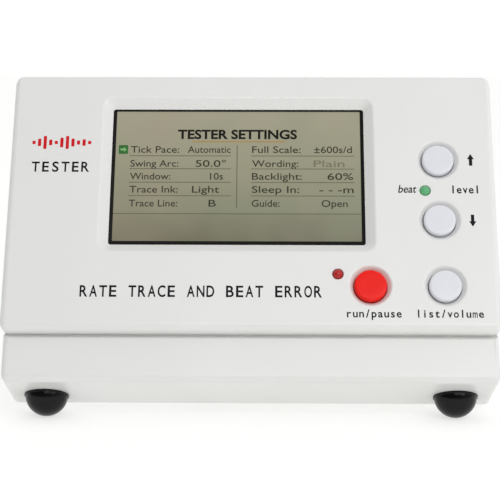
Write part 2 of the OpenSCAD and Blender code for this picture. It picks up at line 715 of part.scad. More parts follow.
// Speaker: pressed frame, paper cone inside it, and magnet behind
speaker_r = speaker_d / 2;
cone_t = 0.4;
basket_z = 5;
basket_r = 9;
magnet_h = 4.6;
module at_speaker(z) base(-speaker_x, speaker_y) translate([0, 0, speaker_rim_z + z]) children();
module speaker_frame() {
    color("#3a3d42") at_speaker(0) rotate_extrude() polygon([
        [speaker_r - 2.4, 0], [speaker_r, 0], [speaker_r, speaker_rim_t], [speaker_r - 1.6, speaker_rim_t],
        [basket_r, basket_z + 1], [0, basket_z + 1], [0, basket_z], [basket_r - 0.6, basket_z],
        [speaker_r - 2.4, speaker_rim_t - 0.2]]);
}
module speaker_cone() {
    color("#4a4038") at_speaker(0) rotate_extrude() polygon([
        [0, basket_z - 1.8], [basket_r - 3, basket_z - 1.8], [speaker_r - 5.4, 0.3], [speaker_r - 2.6, 0.3],
        [speaker_r - 2.6, 0.3 + cone_t], [speaker_r - 5.2, 0.3 + cone_t],
        [basket_r - 2.8, basket_z - 1.8 + cone_t], [0, basket_z - 1.8 + cone_t]]);
}
module speaker_magnet() color("#55585e") at_speaker(basket_z + 1 + skin_gap) cylinder(d = 16, h = magnet_h);
module speaker_screws() {
    color("silver") at_speaker_screws() {
        translate([0, 0, 1.5]) cylinder(d = 1.8, h = speaker_seat_z);
        translate([0, 0, speaker_seat_z + skin_gap]) cylinder(d = speaker_screw_head_d, h = 1.2);
    }
}
// Two wires that leave the socket sideways and turn down to the speaker's frame
module speaker_wires() {
    wire_d = 1.2;
    turn_r = 3;
    run = 10;
    z = main_top_z + 3;
    drop_end = heel.y + speaker_y * sin(base_tilt) + speaker_rim_z + basket_z + 2;
    color("#b02a24") for (s = [-1, 1])
        translate([main_x + speaker_socket_x - speaker_socket.x / 2 - skin_gap, main_y - 2 + s * 1.5, z]) {
            rotate([0, -90, 0]) cylinder(d = wire_d, h = run);
            translate([-run, 0, -turn_r]) rotate([90, 0, 0]) rotate([0, 0, 90])
                rotate_extrude(angle = 90) translate([turn_r, 0]) circle(d = wire_d);
            translate([-run - turn_r, 0, drop_end - z]) cylinder(d = wire_d, h = z - turn_r - drop_end);
        }
}

// Power inlet: a body on the main board with a barrel that reaches the rear face, and its centre pin
barrel_back = 10;
power_pin_d = 2;
power_pin_in = 2;
module power_inlet() {
    color("#1d1d1f") difference() {
        union() {
            translate([power_x - power_body.x / 2, main_back_y - power_body.y, main_top_z]) cube(power_body);
            rear(power_x, power_z) translate([0, 0, -wall - main_gap - 1])
                cylinder(d = power_barrel_d, h = wall + main_gap + 0.8);
        }
        rear(power_x, power_z) translate([0, 0, -barrel_back]) cylinder(d = power_bore_d, h = far / 4);
    }
}
module power_inlet_pin() {
    color("silver") rear(power_x, power_z) translate([0, 0, -barrel_back]) {
        cylinder(d = power_pin_d, h = barrel_back - power_pin_in);
        translate([0, 0, barrel_back - power_pin_in]) sphere(d = power_pin_d);
    }
}

// Microphone socket: a body on the main board, a bush through the rear wall and a nut outside it
module microphone_socket() {
    color("#1d1d1f") difference() {
        union() {
            translate([mic_x - mic_body.x / 2, main_back_y - mic_body.y, main_top_z]) cube(mic_body);
            rear(mic_x, mic_z) translate([0, 0, -wall - main_gap - 1])
                cylinder(d = mic_bush_d, h = wall + main_gap + 1 + bush_out);
        }
        rear(mic_x, mic_z) translate([0, 0, bush_out - mic_bore_l]) cylinder(d = mic_bore_d, h = far / 4);
    }
}
nut_across = 9.2;       // from corner to corner
nut_t = 2;
module microphone_socket_nut() {
    color("silver") rear(mic_x, mic_z) translate([0, 0, skin_gap]) difference() {
        cylinder(d = nut_across, h = nut_t, $fn = 6);
        translate([0, 0, -cut]) cylinder(d = mic_bush_d + 2 * thread_gap, h = nut_t + 2 * cut);
    }
}

upper_shell();
lower_shell();
case_screws();
foot_front_left();
foot_front_right();
foot_rear_left();
foot_rear_right();
display_gasket();
display_frame();
display_glass();
display_backlight();
display_board();
display_driver_chip();
display_socket();
display_screws();
display_ribbon();
key_up();
key_down();
key_menu();
key_start();
plunger_up();
plunger_down();
plunger_menu();
plunger_start();
switch_up();
switch_down();
switch_menu();
switch_start();
lamp_signal();
lamp_run();
lamp_spacers();
key_board();
key_board_screws();
key_board_socket();
key_ribbon();
main_board();
main_board_screws();
processor_chip();
clock_crystal();
voltage_regulator();
smoothing_capacitors();
amplifier_shield();
main_display_socket();
main_key_socket();
speaker_socket();
speaker_frame();
speaker_cone();
speaker_magnet();
speaker_screws();
speaker_wires();
power_inlet();
power_inlet_pin();
microphone_socket();
microphone_socket_nut();
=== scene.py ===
"""Looks of a desktop watch timing tester: its shells, keys, lamps, display, feet and inner pieces."""
import json
import logging
import math
from collections.abc import Iterable, Sequence
from dataclasses import dataclass, field
from enum import Enum

import bmesh
import bpy
from mathutils import Euler, Matrix, Vector


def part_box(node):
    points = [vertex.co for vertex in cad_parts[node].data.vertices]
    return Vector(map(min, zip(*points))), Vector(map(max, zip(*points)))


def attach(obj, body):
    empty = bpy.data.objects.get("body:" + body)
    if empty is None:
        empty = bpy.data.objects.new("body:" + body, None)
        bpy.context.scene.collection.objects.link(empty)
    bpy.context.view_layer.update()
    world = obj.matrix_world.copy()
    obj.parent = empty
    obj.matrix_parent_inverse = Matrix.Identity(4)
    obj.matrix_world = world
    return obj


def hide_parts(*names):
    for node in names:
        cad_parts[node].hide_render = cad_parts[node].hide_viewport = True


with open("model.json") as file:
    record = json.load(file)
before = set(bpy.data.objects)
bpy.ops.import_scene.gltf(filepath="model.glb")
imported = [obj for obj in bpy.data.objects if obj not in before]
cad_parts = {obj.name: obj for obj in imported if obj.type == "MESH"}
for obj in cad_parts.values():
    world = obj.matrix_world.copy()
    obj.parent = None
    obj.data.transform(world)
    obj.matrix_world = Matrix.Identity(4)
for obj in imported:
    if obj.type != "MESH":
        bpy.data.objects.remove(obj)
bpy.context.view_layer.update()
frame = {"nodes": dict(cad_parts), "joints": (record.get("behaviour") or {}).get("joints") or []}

MM = 0.001                     # metres in a millimetre, the unit that every piece is modelled in
WAVE = math.pi / 10            # a wave texture's scale times the distance between its bands
NOISE = (0.3, 0.7)             # the range that most of a noise texture lies in
Colour = tuple[float, float, float, float]
BMesh = bmesh.types.BMesh
log = logging.getLogger("timing_tester")


class Slot(Enum):
    """The record's material slots that the pieces take their finishes from."""

    SHELL = "white_shell"
    RUBBER = "black_rubber"
    SCREW = "zinc_screw"
    FOAM = "foam_black"
    FRAME = "display_frame_black"
    GLASS = "display_glass"
    BACKLIGHT = "backlight"
    BOARD = "circuit_board"
    CHIP = "chip_black"
    CONNECTOR = "connector_ivory"
    RIBBON = "ribbon"
    KEY_WHITE = "key_white"
    KEY_RED = "key_red"
    PLUNGER = "plunger"
    SWITCH = "switch_black"
    LAMP_GREEN = "lamp_green"
    LAMP_RED = "lamp_red"
    CAPACITOR = "capacitor"
    SHIELD = "shield_tin"
    SPEAKER = "speaker_steel"
    CONE = "paper_cone"
    MAGNET = "magnet"
    WIRE = "wire_red"
    SOCKET = "socket_black"
    CONTACT = "contact_metal"


class Cut(Enum):
    """The ways that one solid works on another."""

    TAKE_AWAY = "DIFFERENCE"
    JOIN = "UNION"


# ---------------------------------------------------------------- materials

def linear(hex_colour: str) -> Colour:
    """Turns an sRGB hex colour into Blender's linear one.

    Args:
        hex_colour: Six hex digits after a hash, such as "#e6e6e2".

    Returns:
        Red, green, blue and alpha, each from 0 to 1.
    """
    shares = [int(hex_colour[i:i + 2], 16) / 255 for i in (1, 3, 5)]
    red, green, blue = (s / 12.92 if s <= 0.04045 else ((s + 0.055) / 1.055) ** 2.4 for s in shares)
    return red, green, blue, 1.0


def add_node(tree: bpy.types.NodeTree, kind: str, settings: dict | None = None,
             inputs: dict | None = None) -> bpy.types.Node:
    """Adds a node with its settings and links.

    Args:
        tree: The node tree that takes the node.
        kind: The node's type name.
        settings: Attributes of the node and their values.
        inputs: Input names or indices, each with a value or the socket that feeds it.

    Returns:
        The new node.
    """
    node = tree.nodes.new(kind)
    for name, value in (settings or {}).items():
        setattr(node, name, value)
    for name, value in (inputs or {}).items():
        if isinstance(value, bpy.types.NodeSocket):
            tree.links.new(value, node.inputs[name])
        else:
            node.inputs[name].default_value = value
    return node


@dataclass(frozen=True)
class Layer:
    """A colour that is laid over what is below it, where a value passes from one number to another.

    Attributes:
        value: The socket that gives the value.
        start: The value at which the layer is as the first share says.
        end: The value at which it is as the second share says.
        colour: Its sRGB hex colour.
        shares: How much of it shows at the start and at the end.
    """

    value: bpy.types.NodeSocket
    start: float
    end: float
    colour: str
    shares: tuple[float, float] = (0.0, 1.0)


def layered(tree: bpy.types.NodeTree, ground: Colour | bpy.types.NodeSocket,
            layers: Iterable[Layer]) -> bpy.types.NodeSocket:
    """Lays colours over a ground, one after another.

    Args:
        tree: The node tree that takes the nodes.
        ground: The colour below them all.
        layers: The colours, from the lowest to the highest.

    Returns:
        The socket of the finished colour.
    """
    for layer in layers:
        share = add_node(tree, "ShaderNodeMapRange", inputs={
            "Value": layer.value, "From Min": layer.start, "From Max": layer.end,
            "To Min": layer.shares[0], "To Max": layer.shares[1]})
        mix = add_node(tree, "ShaderNodeMix", {"data_type": "RGBA"}, {
            0: share.outputs["Result"], 6: ground, 7: linear(layer.colour)})
        ground = mix.outputs[2]
    return ground


def graded(value: bpy.types.NodeSocket, shades: Sequence[tuple[float, str]]) -> list[Layer]:
    """Gives the layers that take a value from the first of a row of shades to the last.

    Args:
        value: The socket that gives the value.
        shades: Each shade's value and sRGB hex colour, in rising order.

    Returns:
        The layers over the first shade.
    """
    return [Layer(value, low[0], high[0], high[1]) for low, high in zip(shades, shades[1:])]


@dataclass(frozen=True)
class Finish:
    """A real material, and the detail that the way it was made leaves on its surface.

    Attributes:
        name: The material's common name.
        colour: Its main colour.
        drift: The colour that it drifts to in slow patches.
        roughness: Its mean roughness.
        swing: How far the roughness wanders to each side.
        ior: Its index of refraction, which a metal leaves alone.
        metallic: 1 for bare metal.
        drift_mm: Size of the slow patches.
        grain_mm: Size of the surface's grain.
        grain_depth_mm: Depth of that grain.
        stretch: How the grain is drawn out along X, Y and Z.
        coat: Weight of a clear gloss over the surface.
        specular: Strength of the mirror part of the reflection.
    """

    name: str
    colour: str
    drift: str
    roughness: float
    swing: float = 0.04
    ior: float = 1.5
    metallic: float = 0.0
    drift_mm: float = 16.0
    grain_mm: float = 0.5
    grain_depth_mm: float = 0.004
    stretch: tuple[float, float, float] = (1.0, 1.0, 1.0)
    coat: float = 0.0
    specular: float = 0.5

    def material(self) -> bpy.types.Material:
        """Makes the material the first time it is asked for, and finds it after that.

        Returns:
            The material.
        """
        made = bpy.data.materials.get(self.name)
        if made is None:
            made = bpy.data.materials.new(self.name)
            made.use_nodes = True
            made.node_tree.nodes.clear()
            made.diffuse_color = linear(self.colour)
            self.shade(made.node_tree)
        return made

    def shade(self, tree: bpy.types.NodeTree) -> None:
        """Builds the shader: colour that drifts, roughness that wanders and a fine grain.

        Args:
            tree: The material's node tree.
        """
        place = add_node(tree, "ShaderNodeTexCoord").outputs["Object"]
        drawn = add_node(tree, "ShaderNodeMapping", inputs={"Vector": place, "Scale": self.stretch})
        grain = add_node(tree, "ShaderNodeTexNoise", inputs={
            "Vector": drawn.outputs["Vector"], "Scale": 1 / (self.grain_mm * MM), "Detail": 2.0})
        bump = add_node(tree, "ShaderNodeBump", inputs={
            "Strength": 1.0, "Distance": self.grain_depth_mm * MM, "Height": grain.outputs["Fac"]})
        wander = add_node(tree, "ShaderNodeTexNoise", inputs={
            "Vector": place, "Scale": 1 / (self.drift_mm * 0.6 * MM), "Detail": 3.0})
        roughness = add_node(tree, "ShaderNodeMapRange", inputs={
            "Value": wander.outputs["Fac"], "From Min": NOISE[0], "From Max": NOISE[1],
            "To Min": self.roughness - self.swing, "To Max": self.roughness + self.swing})
        inputs = {
            "Base Color": layered(tree, linear(self.colour), self.layers(tree, place)),
            "Roughness": roughness.outputs["Result"], "Normal": bump.outputs["Normal"],
            "Metallic": self.metallic, "Coat Weight": self.coat, "Specular IOR Level": self.specular}
        if self.metallic == 0:
            inputs["IOR"] = self.ior
        shader = add_node(tree, "ShaderNodeBsdfPrincipled", inputs=inputs)
        self.light_up(tree, shader, place)
        add_node(tree, "ShaderNodeOutputMaterial", inputs={"Surface": shader.outputs["BSDF"]})

    def layers(self, tree: bpy.types.NodeTree, place: bpy.types.NodeSocket) -> list[Layer]:
        """Lays the second colour over the first in slow patches.

        Args:
            tree: The material's node tree.
            place: The socket of the Object coordinates.

        Returns:
            What lies over the main colour, from the lowest layer to the highest.
        """
        patches = add_node(tree, "ShaderNodeTexNoise", inputs={
            "Vector": place, "Scale": 1 / (self.drift_mm * MM), "Detail": 4.0})
        return [Layer(patches.outputs["Fac"], *NOISE, self.drift)]

    def light_up(self, tree: bpy.types.NodeTree, shader: bpy.types.Node,
                 place: bpy.types.NodeSocket) -> None:
        """Adds what shines from within, which most materials don't.

        Args:
            tree: The material's node tree.
            shader: The surface's shader.
            place: The socket of the Object coordinates.
        """


@dataclass(frozen=True)
class PrintedBoard(Finish):
    """Green solder mask on a glass-fibre board, with tracks under it and tinned pads."""

    track: str = "#2f8a52"
    pad: str = "#c9b26a"
    track_mm: float = 1.27
    pad_mm: float = 5.08

    def layers(self, tree: bpy.types.NodeTree, place: bpy.types.NodeSocket) -> list[Layer]:
        """Draws tracks where slow patches of noise allow them, and a pad here and there.

        Args:
            tree: The material's node tree.
            place: The socket of the Object coordinates.

        Returns:
            The board's layers.
        """
        bands = add_node(tree, "ShaderNodeTexWave", {"wave_type": "BANDS", "bands_direction": "X"}, {
            "Vector": place, "Scale": WAVE / (2 * self.track_mm * MM), "Distortion": 0.6, "Detail": 0.0})
        patches = add_node(tree, "ShaderNodeTexNoise", inputs={
            "Vector": place, "Scale": 1 / (4 * self.pad_mm * MM), "Detail": 1.0})
        area, line = (add_node(tree, "ShaderNodeMapRange", inputs={
            "Value": made.outputs["Fac"], "From Min": low, "From Max": high}).outputs["Result"]
            for made, low, high in ((patches, 0.48, 0.52), (bands, 0.6, 0.7)))
        shown = add_node(tree, "ShaderNodeMath", {"operation": "MULTIPLY"}, {0: line, 1: area})
        dots = add_node(tree, "ShaderNodeTexVoronoi", inputs={
            "Vector": place, "Scale": 1 / (self.pad_mm * MM), "Randomness": 0.8})
        return [*super().layers(tree, place), Layer(shown.outputs["Value"], 0.0, 1.0, self.track),
                Layer(dots.outputs["Distance"], 0.13, 0.16, self.pad, (1.0, 0.0))]


@dataclass(frozen=True)
class Striped(Finish):
    """A surface with even lines across it, such as the conductors in a flat ribbon cable."""

    line: str = "#9a9a92"
    pitch_mm: float = 1.0

    def layers(self, tree: bpy.types.NodeTree, place: bpy.types.NodeSocket) -> list[Layer]:
        """Draws the lines over the drifting colour.

        Args:
            tree: The material's node tree.
            place: The socket of the Object coordinates.

        Returns:
            The surface's layers.
        """
        bands = add_node(tree, "ShaderNodeTexWave", {"wave_type": "BANDS", "bands_direction": "X"}, {
            "Vector": place, "Scale": WAVE / (self.pitch_mm * MM), "Distortion": 0.0})
        return [*super().layers(tree, place), Layer(bands.outputs["Fac"], 0.55, 0.8, self.line)]


@dataclass(frozen=True)
class Speckled(Finish):
    """A surface with fine flecks, such as dusted rubber, ferrite or paper pulp."""

    fleck: str = "#5a5a5c"
    fleck_mm: float = 1.2
    fleck_share: float = 0.12

    def layers(self, tree: bpy.types.NodeTree, place: bpy.types.NodeSocket) -> list[Layer]:
        """Scatters the flecks over the drifting colour.

        Args:
            tree: The material's node tree.
            place: The socket of the Object coordinates.

        Returns:
            The surface's layers.
        """
        flecks = add_node(tree, "ShaderNodeTexNoise", inputs={
            "Vector": place, "Scale": 1 / (self.fleck_mm * MM), "Detail": 5.0})
        return [*super().layers(tree, place),
                Layer(flecks.outputs["Fac"], 0.72 - self.fleck_share, 0.78, self.fleck, (0.0, 0.6))]


@dataclass(frozen=True)
class PanelPlace:
    """The panel's own coordinates: across, up its slope and out of it, all in millimetres."""

    origin: Vector
    lean: float

    def matrix(self, across: float = 0.0, up: float = 0.0, out: float = 0.0) -> Matrix:
        """Gives the matrix that puts a thing lying in XY on the panel, facing outwards."""
        turn = Matrix.Rotation(math.pi / 2 - self.lean, 4, "X")
        return Matrix.Translation(self.origin) @ turn @ Matrix.Translation((across, up, out))

    def reader(self, tree: bpy.types.NodeTree, place: bpy.types.NodeSocket,
               centre: tuple[float, float, float] = (0.0, 0.0, 0.0),
               size: float = 1.0) -> bpy.types.NodeSocket:
        """Turns Object coordinates into the panel's own, from a centre on it and in units of size.

        Args:
            tree: The material's node tree.
            place: The socket of the Object coordinates.
            centre: Across, up and out of the panel.
            size: Millimetres in a unit.

        Returns:
            The socket of the new coordinates.
        """
        middle = self.matrix(*centre).translation * MM
        node = add_node(tree, "ShaderNodeMapping", {"vector_type": "TEXTURE"}, {
            "Vector": place, "Location": middle, "Rotation": (math.pi / 2 - self.lean, 0.0, 0.0),
            "Scale": (size * MM,) * 3})
        return node.outputs["Vector"]


@dataclass(frozen=True)
class LitDisplay(Finish):
    """The face of a colour display seen from below its best angle: a grey-green that darkens downwards.

    Attributes:
        panel: The panel's coordinates.
        shades: Heights up the panel in millimetres, each with its colour.
        warm: The colour that it drifts to in some patches.
        cool: The colour that it drifts to in others.
        patch_mm: Size of those patches.
        glow: How strongly it shines.
    """

    panel: PanelPlace | None = None
    shades: tuple[tuple[float, str], ...] = ()
    warm: str = "#a89a86"
    cool: str = "#8c9478"
    patch_mm: float = 26.0
    glow: float = 1.0

    def light_up(self, tree: bpy.types.NodeTree, shader: bpy.types.Node,
                 place: bpy.types.NodeSocket) -> None:
        """Lets the surface shine with the display's own picture.

        Args:
            tree: The material's node tree.
            shader: The surface's shader.
            place: The socket of the Object coordinates.
        """
        split = add_node(tree, "ShaderNodeSeparateXYZ", inputs={"Vector": self.panel.reader(tree, place)})
        patches = add_node(tree, "ShaderNodeTexNoise", inputs={
            "Vector": place, "Scale": 1 / (self.patch_mm * MM), "Detail": 1.0}).outputs["Fac"]
        picture = layered(tree, linear(self.shades[0][1]), [
            *graded(split.outputs["Y"], self.shades),
            Layer(patches, 0.52, 0.72, self.warm, (0.0, 0.3)),
            Layer(patches, 0.48, 0.3, self.cool, (0.0, 0.25))])
        tree.links.new(picture, shader.inputs["Emission Color"])
        shader.inputs["Emission Strength"].default_value = self.glow


@dataclass(frozen=True)
class Shining(Finish):
    """A thing drawn by the display in light: the same colour from every side."""

    glow: float = 0.8

    def light_up(self, tree: bpy.types.NodeTree, shader: bpy.types.Node,
                 place: bpy.types.NodeSocket) -> None:
        """Lets the surface shine in its own drifting colour.

        Args:
            tree: The material's node tree.
            shader: The surface's shader.
            place: The socket of the Object coordinates.
        """
        patches = add_node(tree, "ShaderNodeTexNoise", inputs={
            "Vector": place, "Scale": 1 / (self.grain_mm * MM), "Detail": 1.0})
        shone = layered(tree, linear(self.colour), [Layer(patches.outputs["Fac"], *NOISE, self.drift)])
        tree.links.new(shone, shader.inputs["Emission Color"])
        shader.inputs["Emission Strength"].default_value = self.glow


@dataclass(frozen=True)
class TintedEpoxy(Finish):
    """The cast resin of a lamp, with painted light: painted shade darkens its rim and a painted glow
    brightens it towards the die, where the die and its cup would show through the clear resin.

    Attributes:
        panel: The panel's coordinates.
        centre: The die's place: across the panel, up it and out of it.
        radius: Distance from the die at which the shades start.
        shades: How near the die each colour is, from 0 at that distance to 1 at the die.
        glow: How strongly it shines.
    """

    panel: PanelPlace | None = None
    centre: tuple[float, float, float] = (0.0, 0.0, 0.0)
    radius: float = 2.5
    shades: tuple[tuple[float, str], ...] = ()
    glow: float = 0.25

    def light_up(self, tree: bpy.types.NodeTree, shader: bpy.types.Node,
                 place: bpy.types.NodeSocket) -> None:
        """Paints shade and light on the resin by the distance from the die: painted shade at the rim, a
        painted glow towards the die, and lets it shine a little.

        Args:
            tree: The material's node tree.
            shader: The surface's shader.
            place: The socket of the Object coordinates.
        """
        own = self.panel.reader(tree, place, self.centre, self.radius)
        ball = add_node(tree, "ShaderNodeTexGradient", {"gradient_type": "SPHERICAL"}, {"Vector": own})
        # Painted light: darker towards the rim and brighter towards the die, in both the base colour and the
        # glow.
        shade = layered(tree, linear(self.shades[0][1]), graded(ball.outputs["Fac"], self.shades))
        tree.links.new(shade, shader.inputs["Base Color"])
        tree.links.new(shade, shader.inputs["Emission Color"])
        shader.inputs["Emission Strength"].default_value = self.glow


# ---------------------------------------------------------------- mesh work, in millimetres

@dataclass(frozen=True)
class Corner:
    """A corner of an outline or a section, and the radius that rounds it.

    Attributes:
        a: First coordinate: Y in a side outline, distance from the axis in a section.
        b: Second coordinate: Z in a side outline, height in a section.
        radius: Radius that rounds this corner.
        rim: Radius along the side edge that runs from this corner to the next, in a side outline.
    """

    a: float
    b: float
    radius: float = 0.0
    rim: float = 0.0


def rounded_section(corners: Sequence[Corner], segments: int = 5) -> list[Vector]:
    """Rounds the inner corners of an open section.

    Args:
        corners: The section's corners in order.
        segments: Straight steps along each rounded corner.

    Returns:
        The section's points in order.
    """
    bm = bmesh.new()
    verts = [bm.verts.new((c.a, c.b, 0.0)) for c in corners]
    for pair in zip(verts, verts[1:]):
        bm.edges.new(pair)
    places = [v.co.copy() for v in verts]
    for i, corner in enumerate(corners):
        if corner.radius > 0:
            half = (places[i - 1] - places[i]).angle(places[i + 1] - places[i]) / 2
            bmesh.ops.bevel(bm, geom=[verts[i]], offset=corner.radius / math.tan(half),
                            offset_type="OFFSET", segments=segments, profile=0.5, affect="VERTICES",
                            material=-1, clamp_overlap=False)
    chain = [verts[0]]
    edge = verts[0].link_edges[0]
    while edge is not None:
        chain.append(edge.other_vert(chain[-1]))
        onward = [e for e in chain[-1].link_edges if e is not edge]
        edge = onward[0] if onward else None
    points = [v.co.copy() for v in chain]
    bm.free()
    return points


def revolve(corners: Sequence[Corner], steps: int = 72, segments: int = 5) -> BMesh:
    """Spins a section about Z into a closed solid.

    Args:
        corners: The section, which starts and ends on the axis.
        steps: Straight steps in a full turn.
        segments: Straight steps along each rounded corner.

    Returns:
        The closed solid.
    """
    bm = bmesh.new()
    verts = [bm.verts.new((p.x, 0.0, p.y)) for p in rounded_section(corners, segments)]
    edges = [bm.edges.new(pair) for pair in zip(verts, verts[1:])]
    bmesh.ops.spin(bm, geom=verts + edges, cent=(0, 0, 0), axis=(0, 0, 1), angle=2 * math.pi,
                   steps=steps, use_merge=True)
    return tidied(bm)


def tidied(bm: BMesh) -> BMesh:
    """Merges what lies together and turns the faces outwards.

    Args:
        bm: The mesh to tidy.

    Returns:
        The same mesh.
    """
    bmesh.ops.remove_doubles(bm, verts=bm.verts, dist=1e-4)
    bmesh.ops.recalc_face_normals(bm, faces=bm.faces)
    if bm.calc_volume(signed=True) < 0:
        bmesh.ops.reverse_faces(bm, faces=bm.faces)
    return bm


def rounded_face(bm: BMesh, width: float, height: float, radius: float, level: float = 0.0,
                 segments: int = 6) -> bmesh.types.BMFace:
    """Adds a flat rectangle with round corners.

    Args:
        bm: The mesh that takes it.
        width: Its size along X.
        height: Its size along Y.
        radius: Its corner radius.
        level: Where it lies along Z.
        segments: Straight steps round each corner.

    Returns:
        The new face.
    """
    made = bmesh.ops.create_grid(bm, x_segments=1, y_segments=1, size=0.5)["verts"]
    bmesh.ops.scale(bm, vec=(width, height, 1), verts=made)
    bmesh.ops.translate(bm, vec=(0, 0, level), verts=made)
    face = made[0].link_faces[0]
    if radius > 0:
        bmesh.ops.bevel(bm, geom=made, offset=radius, offset_type="OFFSET", segments=segments,
                        profile=0.5, affect="VERTICES", material=-1, clamp_overlap=False)
        face = max((f for f in bm.faces if abs(f.calc_center_median().z - level) < 1e-6),
                   key=lambda f: len(f.verts) if len(f.verts) > 4 else 0)
    return face


def raise_face(bm: BMesh, faces: Iterable[bmesh.types.BMFace], move: Vector) -> None:
    """Extrudes faces into a closed solid.

    Args:
        bm: The mesh that holds them.
        faces: The faces.
        move: How far they go.
    """
    made = bmesh.ops.extrude_face_region(bm, geom=list(faces))["geom"]
    bmesh.ops.translate(bm, vec=move, verts=[v for v in made if isinstance(v, bmesh.types.BMVert)])


def plate(width: float, height: float, radius: float, thickness: float) -> BMesh:
    """Makes a flat plate with round corners, standing on Z = 0.

    Args:
        width: Its size along X.
        height: Its size along Y.
        radius: Its corner radius.
        thickness: Its size along Z.

    Returns:
        The closed solid.
    """
    bm = bmesh.new()
    raise_face(bm, [rounded_face(bm, width, height, radius)], Vector((0, 0, thickness)))
    return tidied(bm)


def rod(diameter: float, low: float, high: float, steps: int = 48) -> BMesh:
    """Makes a round rod along Z.

    Args:
        diameter: Its diameter.
        low: Where it starts along Z.
        high: Where it ends.
        steps: Straight steps round it.

    Returns:
        The closed solid.
    """
    bm = bmesh.new()
    bmesh.ops.create_cone(bm, cap_ends=True, segments=steps, radius1=diameter / 2, radius2=diameter / 2,
                          depth=high - low, matrix=Matrix.Translation((0, 0, (low + high) / 2)))
    return bm


def funnel(width: float, height: float, radius: float, section: Sequence[Vector]) -> BMesh:
    """Stacks rounded rectangles that follow a section: outset from the first, and level.

    Args:
        width: Width of the rectangle with no outset.
        height: Its height.
        radius: Its corner radius.
        section: Points whose x is the outset and whose y is the level.

    Returns:
        The closed solid.
    """
    bm = bmesh.new()
    rings = []
    for i, point in enumerate(section):
        face = rounded_face(bm, width + 2 * point.x, height + 2 * point.x, radius + 0.855 * point.x,
                            point.y)
        rings.append(list(face.edges))
        if 0 < i < len(section) - 1:
            bmesh.ops.delete(bm, geom=[face], context="FACES_ONLY")
    for lower, upper in zip(rings, rings[1:]):
        bmesh.ops.bridge_loops(bm, edges=lower + upper)
    return tidied(bm)


def prism(corners: Sequence[Corner], width: float, segments: int = 8) -> BMesh:
    """Extrudes a side outline across X and rounds its edges, each with its own radius.

    Args:
        corners: The outline's corners, with Y and Z as their coordinates.
        width: Width along X, with the outline's plane in the middle.
        segments: Straight steps across each rounded edge.

    Returns:
        The closed solid.
    """
    bm = bmesh.new()
    verts = [bm.verts.new((-width / 2, c.a, c.b)) for c in corners]
    raise_face(bm, [bm.faces.new(verts)], Vector((width, 0, 0)))
    tidied(bm)
    weights = bm.edges.layers.float.new("bevel_weight_edge")
    count = len(corners)
    number = {(round(c.a, 3), round(c.b, 3)): i for i, c in enumerate(corners)}
    offsets = {}
    for edge in bm.edges:
        i, j = (number[round(v.co.y, 3), round(v.co.z, 3)] for v in edge.verts)
        if i == j:
            radius = corners[i].radius
        else:
            radius = corners[i if (i + 1) % count == j else j].rim
        offsets[edge] = radius * math.tan(edge.calc_face_angle() / 2)
    widest = max(offsets.values())
    for edge, offset in offsets.items():
        edge[weights] = offset / widest if widest else 0.0
    piece = as_object("outline", bm)
    rounding = piece.modifiers.new("rounding", "BEVEL")
    rounding.limit_method = "WEIGHT"
    rounding.offset_type = "OFFSET"
    rounding.width = widest
    rounding.segments = segments
    rounding.use_clamp_overlap = False
    return taken_back(piece)


def as_object(name: str, bm: BMesh) -> bpy.types.Object:
    """Puts a bmesh into a new object of the scene, and frees it.

    Args:
        name: The object's name.
        bm: Its mesh.

    Returns:
        The new object.
    """
    mesh = bpy.data.meshes.new(name)
    bm.to_mesh(mesh)
    bm.free()
    piece = bpy.data.objects.new(name, mesh)
    bpy.context.scene.collection.objects.link(piece)
    return piece


def taken_back(piece: bpy.types.Object) -> BMesh:
    """Applies an object's modifiers, removes it, and gives what it looked like.

    Args:
        piece: The object.

    Returns:
        Its finished mesh.
    """
    bm = bmesh.new()
    bm.from_object(piece, bpy.context.evaluated_depsgraph_get())
    bpy.data.objects.remove(piece)
    return bm


def gather(parts: Iterable[tuple[BMesh, Matrix]]) -> BMesh:
    """Puts several solids into one mesh.

    Args:
        parts: The solids, each with its place.

    Returns:
        The mesh of them all.
    """
    whole = bmesh.new()
    for part, place in parts:
        part.transform(place)
        mesh = bpy.data.meshes.new("part")
        part.to_mesh(mesh)
        part.free()
        whole.from_mesh(mesh)
        bpy.data.meshes.remove(mesh)
    return whole


def worked(body: BMesh, how: Cut, tool: BMesh) -> BMesh:
    """Takes the tool's solids away from the body, or joins them to it.

    Args:
        body: The solid that is worked on.
        how: Whether it is cut or joined.
        tool: The solids that work on it.

    Returns:
        What is left.
    """
    piece = as_object("body", body)
    other = as_object("tool", tool)
    modifier = piece.modifiers.new("cut", "BOOLEAN")
    modifier.operation = how.value
    modifier.solver = "EXACT"
    modifier.use_self = True
    modifier.object = other
    made = taken_back(piece)
    bpy.data.objects.remove(other)
    return made


def finished(name: str, bm: BMesh, finish: Finish, slot: Slot, body: str = "root",
             stands_for: Sequence[str] = (), sharp_deg: float = 34.0,
             steady: bool = False) -> bpy.types.Object:
    """Turns millimetres to metres, smooths, dresses the piece and puts it on its body.

    Args:
        name: The piece's name.
        bm: Its mesh, in millimetres, in place.
        finish: What it is made of.
        slot: The record's slot for that finish; not used.
        body: The body that it rides on.
        stands_for: CAD nodes that it replaces.
        sharp_deg: Edges that turn by more than this stay sharp.
        steady: Whether large flat faces lead the shading of their small neighbours.

    Returns:
        The finished piece.
    """
    bmesh.ops.remove_doubles(bm, verts=bm.verts, dist=1e-4)
    bmesh.ops.scale(bm, vec=(MM, MM, MM), verts=bm.verts)
    piece = as_object(name, bm)
    mesh = piece.data
    mesh.shade_smooth()
    mesh.set_sharp_from_angle(angle=math.radians(sharp_deg))
    mesh.materials.clear()
    mesh.materials.append(finish.material())
    if steady:
        normals = piece.modifiers.new("steady shading", "WEIGHTED_NORMAL")
        normals.keep_sharp = True
        normals.weight = 80
    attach(piece, body)
    if stands_for:
        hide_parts(*stands_for)
    log.info("%s: %d faces on %s", name, len(mesh.polygons), body)
    return piece


# ---------------------------------------------------------------- the housing

